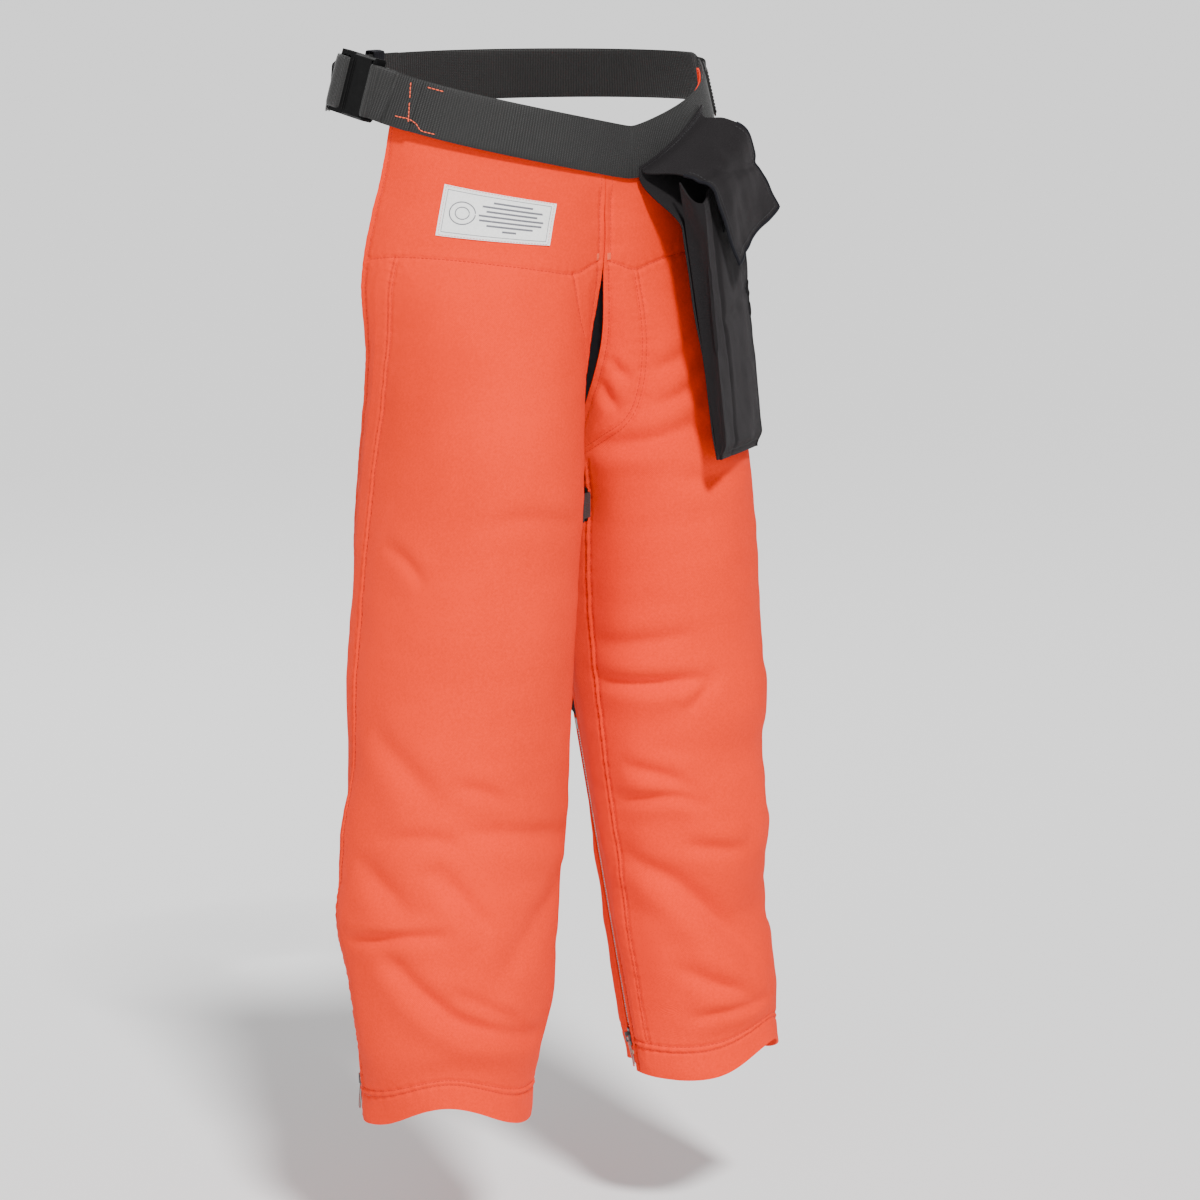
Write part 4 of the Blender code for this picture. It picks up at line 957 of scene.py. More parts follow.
def stitch_run(points, outward, pitch=STITCH_PITCH, radius=THREAD_RADIUS, share=THREAD_SHARE):
    """Points of short raised threads along a line: each is a small five-sided spindle."""
    track, _ = spaced(np.hstack((points, outward)), pitch)
    spare = (1.0 - share) / 2
    start = track[:-1] * (1 - spare) + track[1:] * spare
    end = track[:-1] * spare + track[1:] * (1 - spare)
    along = unit(end[:, :3] - start[:, :3])
    raised = unit(start[:, 3:] + end[:, 3:])
    side = np.cross(along, raised)
    raised = np.cross(side, along)
    turn = np.linspace(0.0, 2 * math.pi, 5, endpoint=False)
    rings = []
    for place, size, lift in ((0.0, 0.35, -0.6), (0.2, 1.0, 0.35), (0.8, 1.0, 0.35), (1.0, 0.35, -0.6)):
        middle = start[:, :3] * (1 - place) + end[:, :3] * place + raised * radius * lift
        rings.append(middle[:, None] + radius * size * (side[:, None] * -np.sin(turn)[None, :, None]
                                                        + raised[:, None] * np.cos(turn)[None, :, None]))
    return np.stack(rings, axis=1)


def stitch_piece(name, runs, material, body):
    """One object of many threads."""
    rings = np.concatenate(runs)
    faces = []
    quads = [[r * 5 + s, r * 5 + (s + 1) % 5, (r + 1) * 5 + (s + 1) % 5, (r + 1) * 5 + s]
             for r in range(3) for s in range(5)]
    ends = ([4, 3, 2, 1, 0], [15, 16, 17, 18, 19])
    for number in range(len(rings)):
        first = number * 20
        faces += [[first + corner for corner in face] for face in quads]
        faces += [[first + corner for corner in face] for face in ends]
    return finish_piece(name, mesh_from(name, rings.reshape(-1, 3), faces), material, body)


def solids_piece(name, blocks, material, body, replaces=()):
    """One object of many small lofted blocks, each an array of rings."""
    points, faces, first = [], [], 0
    for rings in blocks:
        count, sides = rings.shape[:2]
        index = np.arange(count * sides).reshape(count, sides) + first
        quads = np.stack((index[:-1], np.roll(index[:-1], -1, axis=1), np.roll(index[1:], -1, axis=1),
                          index[1:]), axis=-1)
        faces += quads.reshape(-1, 4).tolist() + [index[0, ::-1].tolist(), index[-1].tolist()]
        points.append(rings.reshape(-1, 3))
        first += count * sides
    mesh = mesh_from(name, np.concatenate(points), faces)
    return finish_piece(name, mesh, material, body, replaces)


def placed(matrix, points):
    """Local points moved to the world by a 4 x 4 matrix."""
    turned = np.array(matrix)
    return np.asarray(points, dtype=float) @ turned[:3, :3].T + turned[:3, 3]


def placed_grid(matrix, local):
    return placed(matrix, local.reshape(-1, 3)).reshape(local.shape)


# ---------------------------------------------------------------- stitching on the legs

TACK_WIDTH = 0.0065
TACK_STEP = 0.0008
FACING_REACH = 0.016
FACING_ROWS = 70
STRIP_DEPTH = 0.0024


def seam_stitches(panel):
    runs = []
    for rows, knots in panel.seams.values():
        for number in range(rows):
            track = panel.seam_track(knots, number, 700)
            points = panel.at(track[:, 0], track[:, 1], 0.00005)
            normals = panel.read(grid_normals(panel.grid), track[:, 0], track[:, 1])
            runs.append(stitch_run(points, normals))
    stitch_piece(f"seam_stitches_{panel.leg.side}", runs, ORANGE_SEAM_THREAD, CHAPS)


def wrap_stitches(leg):
    grid, _, _ = wrap_grid(leg)
    normals = grid_normals(grid)
    runs = []
    for level in WRAP_STITCH_LEVELS:
        row = (WRAP_TOP_LEVEL - level) / (WRAP_TOP_LEVEL - HEM_LEVEL) * (WRAP_ROWS - 1)
        part = row - int(row)
        points = grid[int(row)] * (1 - part) + grid[int(row) + 1] * part
        runs.append(stitch_run(points[4:-4], normals[int(row), 4:-4]))
    column = WRAP_COLUMNS - 1 - round(WRAP_STITCH_INSET / WRAP_WIDTH * (WRAP_COLUMNS - 1))
    runs.append(stitch_run(grid[8:-4, column], normals[8:-4, column]))
    stitch_piece(f"wrap_stitches_{leg.side}", runs, ORANGE_SEAM_THREAD, f"calf_wrap_{leg.side}")


def bar_tack(panel, name, share, level, tall):
    """A dense zigzag of thread across a place that would tear first."""
    count = int(tall / TACK_STEP)
    levels = level + np.linspace(tall / 2, -tall / 2, count)
    half = TACK_WIDTH / PANEL_WIDTH / 2
    runs = []
    for number, at in enumerate(levels):
        shares = np.array((share - half, share + half))
        points = panel.at(shares, at + np.array((0.0, TACK_STEP * 0.5)), 0.0002)
        normals = panel.read(grid_normals(panel.grid), shares, np.array((at, at)))
        runs.append(stitch_run(points, normals, pitch=TACK_WIDTH / 2, share=1.0))
    stitch_piece(name, runs, ORANGE_THREAD, CHAPS)


def make_middle_strip():
    """The strip of cloth behind the seam that joins the legs at the front."""
    levels = np.linspace(-0.036, -0.166, 60)
    halves = ((RIGHT_PANEL, (0.945, 0.965, 0.985, 1.0)), (LEFT_PANEL, (0.0, 0.015, 0.035, 0.055)))
    columns = [panel.at(np.full(60, share), levels, -STRIP_DEPTH)
               for panel, shares in halves for share in shares]
    grid = np.stack(columns, axis=1)
    piece = finish_piece("middle_seam_strip", skin_mesh("middle_seam_strip", grid, 0.0005), ORANGE_CLOTH,
                         CHAPS)


def make_slit_facing():
    """The lining's edge shows behind the slit where the legs part."""
    levels = np.linspace(-0.160, -0.352, FACING_ROWS)
    edge = LEFT_PANEL.at(np.zeros(FACING_ROWS), levels, -0.0030)
    inner = LEFT_PANEL.at(np.full(FACING_ROWS, 0.035), levels, -0.0048)
    reach = FACING_REACH * np.sin(np.linspace(0.10, 1.0, FACING_ROWS) * math.pi) ** 0.7
    back = np.array((0.0, 1.0, 0.0)) * (0.004 + reach * 0.35)[:, None]
    over = edge + unit(edge - inner) * reach[:, None] + back
    share = np.linspace(0.0, 1.0, 9)[None, :, None]
    grid = over[:, None] * (1 - share) + inner[:, None] * share
    grid[..., 1] += 0.003 * np.sin(share[..., 0] * math.pi)
    piece = finish_piece("slit_facing", skin_mesh("slit_facing", grid, LINING_THICKNESS), LINING_CLOTH, CHAPS)


seam_stitches(RIGHT_PANEL)
seam_stitches(LEFT_PANEL)
make_slit_facing()
wrap_stitches(RIGHT)
wrap_stitches(LEFT)
bar_tack(RIGHT_PANEL, "pocket_tack_right", 0.030, -0.376, 0.012)
bar_tack(RIGHT_PANEL, "middle_tack_right", 0.975, -0.152, 0.010)
bar_tack(LEFT_PANEL, "middle_tack_left", 0.022, -0.152, 0.010)
make_middle_strip()


# ---------------------------------------------------------------- label

LABEL_CORNERS = ((0.318, -0.0705), (0.775, -0.0760), (0.750, -0.1330), (0.316, -0.1260))
LABEL_LIFT = 0.0011
LABEL_STITCH_INSET = 0.045 * 0.45
LABEL_RULE_INSET = 0.085
LABEL_RULES = (0.34, 0.52, 0.44, 0.56, 0.54, 0.40, 0.12)
LABEL_NORMAL = RIGHT_PANEL.read(RIGHT_PANEL.normal, np.array([0.53]), np.array([-0.100]))[0]


def label_place(across, down):
    """(share, level) of a place on the label: 0..1 across and down it."""
    corners = np.array(LABEL_CORNERS)
    top = corners[0] * (1 - across)[:, None] + corners[1] * across[:, None]
    low = corners[3] * (1 - across)[:, None] + corners[2] * across[:, None]
    return top * (1 - down)[:, None] + low * down[:, None]


def label_points(across, down, lift):
    across, down = np.broadcast_arrays(np.atleast_1d(across).astype(float), np.atleast_1d(down))
    shape = across.shape
    where = label_place(across.ravel(), down.ravel())
    crinkle = 0.0002 * np.sin(across.ravel() * 9 + down.ravel() * 5)
    points = RIGHT_PANEL.at(where[:, 0], where[:, 1])
    smooth_normal = RIGHT_PANEL.read(RIGHT_PANEL.normal, where[:, 0], where[:, 1])
    return (points + smooth_normal * (lift + crinkle)[:, None]).reshape(*shape, 3)


def label_sides(inset, count):
    """The label's four sides, moved in by inset: count (across, down) places on each."""
    square = np.array(((0, 0), (1, 0), (1, 1), (0, 1), (0, 0)), dtype=float) * (1 - 2 * inset) + inset
    steps = np.linspace(0.0, 1.0, count)[:, None]
    return [first * (1 - steps) + second * steps for first, second in zip(square[:-1], square[1:])]


def make_label():
    across, down = np.meshgrid(np.linspace(0.0, 1.0, 60), np.linspace(0.0, 1.0, 30))
    grid = label_points(across, down, LABEL_LIFT)
    piece = finish_piece("size_label", skin_mesh("size_label", grid, 0.0008), LABEL_CLOTH, CHAPS,
                         ("label",))
    runs = []
    for track in label_sides(LABEL_STITCH_INSET, 60):
        points = label_points(track[:, 0], track[:, 1], LABEL_LIFT + 0.0001)
        where = label_place(track[:, 0], track[:, 1])
        normals = RIGHT_PANEL.read(RIGHT_PANEL.normal, where[:, 0], where[:, 1])
        runs.append(stitch_run(points, normals, pitch=0.0030, radius=0.00026))
    stitch_piece("label_stitches", runs, PINK_THREAD, CHAPS)
    make_label_marks()


def make_label_marks():
    """Plain grey rules and a ring: placeholders that spell nothing."""
    blocks = []
    for track in label_sides(LABEL_RULE_INSET * np.array((0.5, 1.0)), 40):
        points = label_points(track[:, 0], track[:, 1], LABEL_LIFT + 0.00012)
        blocks.append(tube_rings(points, LABEL_NORMAL, 0.00026, 6, 0.5))
    steps = np.linspace(-0.5, 0.5, 14)
    for row, wide in enumerate(LABEL_RULES):
        points = label_points(0.63 + steps * wide, 0.20 + row * 0.098, LABEL_LIFT + 0.00008)
        blocks.append(tube_rings(points, LABEL_NORMAL, 0.0009, 8, 0.28))
    turn = np.linspace(0.0, 2 * math.pi, 49)[:-1]
    for radius, thick in ((0.115, 0.00055), (0.062, 0.0005)):
        points = label_points(0.205 + radius * np.cos(turn), 0.5 + radius * 1.95 * np.sin(turn),
                              LABEL_LIFT + 0.00010)
        blocks.append(tube_rings(points, LABEL_NORMAL, thick, 6, 0.4, closed=True))
    solids_piece("label_marks", blocks, LABEL_INK, CHAPS)


make_label()


# ---------------------------------------------------------------- belt

def belt_outward(angles):
    turn = np.radians(angles)
    outward = np.stack((np.sin(turn) / BELT_RX, -np.cos(turn) / BELT_RY, np.zeros_like(turn)), axis=-1)
    return unit(outward)


def belt_points(angles, outset):
    """Centre line of the belt; degrees from the front towards the wearer's left."""
    angles = np.atleast_1d(np.asarray(angles, dtype=float))
    turn = np.radians(angles)
    signed = (angles + 180.0) % 360.0 - 180.0
    base = np.stack((BELT_RX * np.sin(turn), -BELT_RY * np.cos(turn), belt_dip(signed)), axis=-1)
    return base + belt_outward(angles) * np.broadcast_to(outset, angles.shape)[:, None]


def belt_ups(angles):
    angles = np.atleast_1d(np.asarray(angles, dtype=float))
    lean = 2 * BELT_LEAN * np.abs(np.sin(np.radians(angles)))
    return unit(np.array((0.0, 0.0, BELT_HEIGHT)) - belt_outward(angles) * lean[:, None])


def frame_matrix(origin, x_axis, z_hint):
    x_dir = Vector(x_axis).normalized()
    y_dir = Vector(z_hint).cross(x_dir).normalized()
    turned = Matrix((x_dir, y_dir, x_dir.cross(y_dir))).transposed().to_4x4()
    return Matrix.Translation(Vector(origin)) @ turned


HIP_ANGLE = -73.0
HIP_SLOPE = (0.10, 1.0, 0.090)
HIP_BACK = 0.0475
HIP_OUT = 0.0085


def hip_frame():
    """Of the belt buckle: x back along the belt, z outward."""
    front, up = Vector(belt_points(HIP_ANGLE, 0.0)[0]), Vector(belt_ups(-90.0)[0])
    slope = Vector(HIP_SLOPE).normalized()
    outward = slope.cross(up).normalized()
    if outward.x > 0:
        outward = -outward
    return frame_matrix(front + slope * HIP_BACK + outward * HIP_OUT, slope, outward)


HIP = hip_frame()
# How far the sewn webbing stands off the belt's line, and how far a second layer stands off it
SEWN = 0.0021
LAP = 0.0026


def smooth_path(pieces, count):
    """One smooth track through (points, ups) pieces."""
    points = np.concatenate([piece[0] for piece in pieces])
    ups = np.concatenate([piece[1] for piece in pieces])
    return through(points, count), unit(through_like(points, ups, count))


def through_like(points, values, count):
    """Values read along a path at the same places as its smooth points."""
    lengths = np.concatenate(([0.0], np.cumsum(np.linalg.norm(np.diff(points, axis=0), axis=1))))
    at = np.linspace(0.0, lengths[-1], count)
    return np.stack([np.interp(at, lengths, column) for column in values.T], axis=1)


def local_track(frame, pairs, up):
    """World points of (x, z) pairs in a buckle's frame, with their width direction."""
    points = placed(frame, [(x, 0.0, z) for x, z in pairs])
    return points, np.repeat(np.asarray(up, dtype=float)[None, :], len(points), axis=0)


def make_front_webbing():
    """From the wearer's left hip round the front, round the socket's bar and back on itself."""
    angles = np.linspace(78.0, -70.0, 120)
    up = -np.array(HIP.to_3x3().col[1])
    run = belt_points(angles, SEWN), belt_ups(angles)
    turned = local_track(HIP, ((-0.0500, -0.0071), (-0.0455, -0.0079), (-0.0430, -0.0079), (-0.0408, -0.0070),
                               (-0.0398, -0.0035), (-0.0398, 0.0035), (-0.0408, 0.0070), (-0.0430, 0.0079),
                               (-0.0452, 0.0073), (-0.0470, 0.0048), (-0.0488, 0.0008)), up)
    sewn = np.linspace(-70.0, -60.0, 9)
    doubled = belt_points(sewn, SEWN + LAP), belt_ups(sewn)
    centres, ups = smooth_path((run, turned, doubled), 1500)
    mesh = band_mesh("front_webbing", centres, ups, BELT_HEIGHT, WEBBING_THICKNESS)
    finish_piece("front_webbing", mesh, WEBBING, CHAPS, ("belt_front_webbing", "belt_socket_loop"))


def make_back_strap():
    """Sewn over the front webbing at the left hip; through the plug, and back as the loose tail."""
    lapped, free = np.linspace(66.0, 76.0, 8), np.linspace(79.0, 190.0, 80)
    lap = belt_points(lapped, SEWN + LAP), belt_ups(lapped)
    static = belt_points(free, SEWN), belt_ups(free)
    centres, ups = smooth_path((lap, static), 900)
    mesh = band_mesh("back_strap", centres, ups, BELT_HEIGHT, WEBBING_THICKNESS)
    finish_piece("back_strap", mesh, WEBBING, CHAPS, ("belt_back_strap",))
    up = -np.array(HIP.to_3x3().col[1])
    near = np.linspace(190.0, 243.0, 40)
    run = belt_points(near, SEWN), belt_ups(near)
    turned = local_track(HIP, ((0.0480, -0.0050), (0.0400, -0.0056), (0.0310, -0.0056), (0.0180, -0.0056),
                               (0.0145, -0.0050), (0.0131, -0.0020), (0.0131, 0.0022), (0.0150, 0.0054),
                               (0.0200, 0.0057), (0.0300, 0.0057), (0.0380, 0.0030), (0.0470, -0.0012)), up)
    back = np.linspace(242.0, 196.5, 36)
    tail = belt_points(back, SEWN + 0.0030 + 0.0008 * np.sin(np.radians(back * 6))), belt_ups(back)
    centres, ups = smooth_path((run, turned, tail), 1300)
    mesh = band_mesh("adjusting_strap", centres, ups, BELT_HEIGHT, WEBBING_THICKNESS)
    piece = finish_piece("adjusting_strap", mesh, WEBBING, None,
                         ("belt_strap_tail", "belt_strap_end"))
    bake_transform(piece)


KEEPER_ANGLE = 79.0 + (180.0 - 79.0) / 14.5 * 18.5
KEEPER_WIDE = 0.0283
KEEPER_DEEP = 0.0058
KEEPER_REACH = 0.0085
KEEPER_CORNER = 0.22


def make_keeper():
    """The elastic loop that holds the tail."""
    centre, up = belt_points(KEEPER_ANGLE, 0.0036)[0], belt_ups(KEEPER_ANGLE)[0]
    along = unit(belt_points(KEEPER_ANGLE + 1.0, 0.0)[0] - belt_points(KEEPER_ANGLE - 1.0, 0.0)[0])
    place = np.cross(along, up)
    turn = np.linspace(0.0, 2 * math.pi, 96, endpoint=False)
    wide = KEEPER_WIDE * np.sign(np.cos(turn)) * np.abs(np.cos(turn)) ** KEEPER_CORNER
    deep = KEEPER_DEEP * np.sign(np.sin(turn)) * np.abs(np.sin(turn)) ** KEEPER_CORNER
    loop = centre + wide[:, None] * up + deep[:, None] * place
    steps = np.linspace(-1.0, 1.0, 23)
    bulge = np.sqrt(np.clip(1.0 - steps ** 8, 0.0, 1.0))
    outward = unit(wide[:, None] * up / KEEPER_WIDE ** 2 + deep[:, None] * place / KEEPER_DEEP ** 2)
    gather = 0.00022 * np.cos(steps * KEEPER_REACH * 2 * math.pi / 0.0019)
    thick = outward[:, None] * (0.00065 * bulge + np.abs(gather) * bulge)[None, :, None]
    shift = along * (steps * KEEPER_REACH)[None, :, None]
    over, under = loop[:, None] + thick + shift, loop[:, None] - thick + shift
    rings = np.concatenate((over, under[:, ::-1][:, 1:-1]), axis=1)
    mesh = loft_mesh("elastic_keeper", rings, closed=True)
    finish_piece("elastic_keeper", mesh, BINDING, CHAPS, ("belt_keeper",))


def belt_stitches(name, lines, material):
    """Threads along (angle, height, outset) lines on the belt."""
    runs = []
    for line in lines:
        knots = through(line, 80)
        points = belt_points(knots[:, 0], knots[:, 2]) + belt_ups(knots[:, 0]) * knots[:, 1:2]
        runs.append(stitch_run(points, belt_outward(knots[:, 0]), pitch=0.0036, radius=0.00055, share=0.9))
    stitch_piece(name, runs, material, CHAPS)


DOUBLED = SEWN + LAP + WEBBING_THICKNESS / 2 + 0.0003
SINGLE = SEWN + WEBBING_THICKNESS / 2 + 0.0003

make_front_webbing()
make_back_strap()
make_keeper()
belt_stitches("orange_bar_stitches", (
    ((-61.6, 0.021, DOUBLED), (-61.6, 0.006, DOUBLED)),
    ((-61.6, 0.002, DOUBLED), (-61.6, -0.0165, DOUBLED)),
    ((-66.5, -0.0145, DOUBLED), (-63.8, -0.0140, DOUBLED), (-61.4, -0.0135, DOUBLED),
     (-58.9, -0.0170, SINGLE), (-57.6, -0.0215, SINGLE), (-53.0, -0.0215, SINGLE)),
    ((-56.0, 0.0205, SINGLE), (-50.5, 0.0205, SINGLE)),
), ORANGE_THREAD)
belt_stitches("left_hip_stitches", (
    ((67.5, 0.021, DOUBLED), (67.5, -0.021, DOUBLED)),
    ((67.5, -0.021, DOUBLED), (75.5, 0.021, DOUBLED)),
    ((67.5, 0.021, DOUBLED), (75.5, 0.021, DOUBLED)),
    ((67.5, -0.021, DOUBLED), (75.5, -0.021, DOUBLED)),
), BLACK_THREAD)


# ---------------------------------------------------------------- zips

ZIP_DEPTH = 0.0031
ZIP_TOP = 0.115
ZIP_END = 0.962
SLIDER_LENGTH = 0.017
TAPE_ROWS = 170
TAPE_EDGE = 0.0043
TAPE_WIDTH = 0.0126
TAPE_END = 0.995
TAPE_ABOVE = 0.030
TAPE_TOP_RUN = 0.020
TAPE_TOP_REACH = 0.0085
TAPE_LOW_RUN = 0.003
TAPE_LOW_REACH = 0.0098
TAPE_LOW_START = 0.0035
TAPE_CURL = 0.0060
TAPE_CURL_START = 0.008
TOOTH_PITCH = 0.0026
TOOTH_HALF = 0.00058
TOOTH_HEIGHT = 0.0014
TEETH_PAST = 0.003
PULL_ALONG = 0.0095
PULL_LENGTH = 0.028
PULL_HALF = 0.0037
PULL_TILT = 24.0
# The slider's face, and the height of the lug's hole above it
LUG_HEIGHT = 0.0027 + 0.0017


def zip_place(leg):
    return leg.zip_frame @ Matrix.Translation((0.0, 0.0, -ZIP_DEPTH))


def zip_levels(leg):
    """How far down the zip's line its top, end, slider and front tape lie."""
    length = (Vector(leg.zip_line[1]) - Vector(leg.zip_line[0])).length
    end = length * ZIP_END
    return length * ZIP_TOP, end, end - SLIDER_LENGTH, length * TAPE_END


def tooth_block(x, sign):
    """One tooth: a clamp on the tape's edge and a narrower head that meets the other row."""
    outline = np.array(((-1.0, 0.0040), (1.0, 0.0040), (1.0, 0.0014), (0.62, -0.0002), (0.45, -0.0009),
                        (-0.45, -0.0009), (-0.62, -0.0002), (-1.0, 0.0014)))
    outline[:, 0] *= TOOTH_HALF
    if sign < 0:
        outline = outline[::-1] * (1.0, -1.0)
    rings = []
    for height, size in ((-1.0, 0.72), (-0.72, 1.0), (0.72, 1.0), (1.0, 0.72)):
        middle = outline.mean(axis=0)
        flat = middle + (outline - middle) * size
        rings.append(np.column_stack((flat[:, 0] + x, flat[:, 1], np.full(len(flat), height * TOOTH_HEIGHT))))
    return np.stack(rings)


def make_zip(leg):
    place = zip_place(leg)
    side = leg.side
    top, end, slider_top, tape_end = zip_levels(leg)
    for word, sign, low in (("front", 1.0, end + TEETH_PAST), ("wrap", -1.0, slider_top - TEETH_PAST)):
        body = CHAPS if word == "front" else f"calf_wrap_{side}"
        first = top + (0.0 if sign > 0 else TOOTH_PITCH / 2)
        count = int((low - first) / TOOTH_PITCH)
        blocks = []
        for number in range(count):
            block = tooth_block(first + number * TOOTH_PITCH, sign)
            blocks.append(placed_grid(place, block))
        solids_piece(f"zip_teeth_row_{word}_{side}", blocks, ZIP_METAL, body,
                     (f"zip_teeth_{word}_{side}",))
        last = tape_end if sign > 0 else low + 0.001
        make_tape(leg, word, sign, (top - TAPE_ABOVE, top, end, last), body)
    make_pull(leg, place, slider_top + PULL_ALONG)


def make_tape(leg, word, sign, stations, body):
    """Woven tape beside the teeth. The front one's ends reach across the line, and its top curls out."""
    place, side = zip_place(leg), leg.side
    first, top, end, last = stations
    x = np.linspace(first, last, TAPE_ROWS)[:, None]
    across = np.linspace(0.0, 1.0, 7)[None, :]
    width = TAPE_WIDTH - (0.0 if sign > 0 else FRONT_ZIP_GAP - WRAP_ZIP_GAP)
    reach, curl = np.zeros_like(x), np.zeros_like(x)
    if sign > 0:
        reach = (TAPE_TOP_REACH * ease((first + TAPE_TOP_RUN - x) / TAPE_TOP_RUN)
                 + TAPE_LOW_REACH * ease((x - end - TAPE_LOW_START) / TAPE_LOW_RUN))
        curl = TAPE_CURL * ease((top - TAPE_CURL_START - x) / TAPE_TOP_RUN)
    y = TAPE_EDGE - reach * (1 - across) + (width - TAPE_EDGE) * across
    z = 0.0003 + 0.00012 * np.sin(x * 420.0) * across + curl * (1 - across) ** 1.5
    local = np.stack((np.broadcast_to(x, y.shape), y * sign, z), axis=-1)
    if sign > 0:
        local = local[:, ::-1]
    grid = placed_grid(place, local)
    grid = grid[:, ::-1] if facing_in(grid, place) else grid
    mesh = skin_mesh(f"zip_tape_cloth_{word}_{side}", grid, 0.0006)
    finish_piece(f"zip_tape_cloth_{word}_{side}", mesh, TAPE_CLOTH, body,
                 (f"zip_tape_{word}_{side}",))


def facing_in(grid, place):
    outward = np.array(place.to_3x3().col[2])
    return float((grid_normals(grid) @ outward).mean()) < 0.0


def make_pull(leg, place, along):
    """A bent wire loop that hangs askew from the slider's lug."""
    turned = (place @ Matrix.Translation((along, 0.0, LUG_HEIGHT))
              @ Matrix.Rotation(math.radians(PULL_TILT), 4, "Z"))
    corner = 0.0021
    knots = []
    for x, y, first in ((PULL_LENGTH - corner, PULL_HALF - corner, 90), (0.0009, PULL_HALF - corner, 180),
                        (0.0009, -PULL_HALF + corner, 270), (PULL_LENGTH - corner, -PULL_HALF + corner, 360)):
        size = corner if x > 0.01 else corner * 0.7
        for step in range(5):
            turn = math.radians(first - 90 + step * 22.5)
            knots.append((x + size * math.cos(turn), y + size * math.sin(turn), 0.0))
    path = placed(turned, knots)
    dense = np.vstack([path[i] * (1 - t) + path[(i + 1) % len(path)] * t
                       for i in range(len(path)) for t in (0.0, 0.5)])
    rings = tube_rings(dense, np.array(turned.to_3x3().col[2]), 0.0007, 8, 0.8, closed=True)
    mesh = loft_mesh(f"pull_loop_{leg.side}", rings, closed=True)
    finish_piece(f"pull_loop_{leg.side}", mesh, ZIP_METAL, f"zip_pull_{leg.side}",
                 (f"zip_pull_{leg.side}",))


for each_leg in (RIGHT, LEFT):
    make_zip(each_leg)


# ---------------------------------------------------------------- thigh straps

THIGH_LEVEL = -0.400
# Each thigh buckle's x, y and slant
RIGHT_THIGH_BUCKLE = (-0.0030, -0.0860, 0.12)
LEFT_THIGH_BUCKLE = (0.0200, -0.0110, 0.0)
THIGH_WEB = 0.025
THIGH_RIB = 0.0021
THIGH_RIB_HEIGHT = 0.00014
THIGH_THICKNESS = 0.0011
THIGH_PLUG_ROOM = 0.0235


def thigh_frame(sign):
    """Of a thigh buckle: x back, z towards the other leg. The sign is -1 on the wearer's right."""
    x, y, slant = RIGHT_THIGH_BUCKLE if sign < 0 else LEFT_THIGH_BUCKLE
    return frame_matrix((x, y, THIGH_LEVEL), (slant, 1.0, 0.0), (-sign, 0.0, 0.0))


def thigh_route(leg, place, sign):
    """The strap's way behind the thigh, from the panel's outer edge to just short of the plug."""
    centre = np.array((*leg.centre(np.array([THIGH_LEVEL]))[0], THIGH_LEVEL))
    start = leg.front(np.array([0.0 if sign < 0 else 1.0]), np.array([THIGH_LEVEL]))[0]
    start = start + unit(centre - start) * 0.004
    finish = placed(place, [(0.0312 + THIGH_PLUG_ROOM, 0.0, -0.0002)])[0]
    first, last = (math.atan2(point[0] - centre[0], centre[1] - point[1]) for point in (start, finish))
    if sign < 0 and last > first:
        last -= 2 * math.pi
    if sign > 0 and last < first:
        last += 2 * math.pi
    radii = [np.linalg.norm((point - centre)[:2]) for point in (start, finish)]
    share = np.linspace(0.0, 1.0, 60)
    turn = first + (last - first) * share
    radius = radii[0] + (radii[1] - radii[0]) * ease(share)
    return np.column_stack((centre[0] + np.sin(turn) * radius, centre[1] - np.cos(turn) * radius,
                            np.full(60, THIGH_LEVEL)))


def thigh_band(name, runs, count):
    centres, ups = smooth_path(runs, count)
    return band_mesh(name, centres, ups, THIGH_WEB, THIGH_THICKNESS, THIGH_RIB, THIGH_RIB_HEIGHT)


def make_thigh_strap(panel, sign):
    leg = panel.leg
    place = thigh_frame(sign)
    level_up = np.array((0.0, 0.0, 1.0))
    route = thigh_route(leg, place, sign)
    run = route, np.repeat(level_up[None, :], len(route), axis=0)
    weave = local_track(place, ((0.0440, -0.0016), (0.0330, -0.0036), (0.0200, -0.0038), (0.0115, -0.0038),
                                (0.0094, -0.0032), (0.0086, -0.0012), (0.0086, 0.0014), (0.0096, 0.0035),
                                (0.0120, 0.0039), (0.0190, 0.0040), (0.0250, 0.0026), (0.0330, 0.0006),
                                (0.0450, 0.0012)), level_up)
    mesh = thigh_band(f"thigh_webbing_{leg.side}", (run, weave), 900)
    piece = finish_piece(f"thigh_webbing_{leg.side}", mesh, WEBBING, None,
                         (f"thigh_strap_{leg.side}", f"thigh_strap_end_{leg.side}"))
    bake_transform(piece)
    make_socket_web(panel, place, sign, level_up)


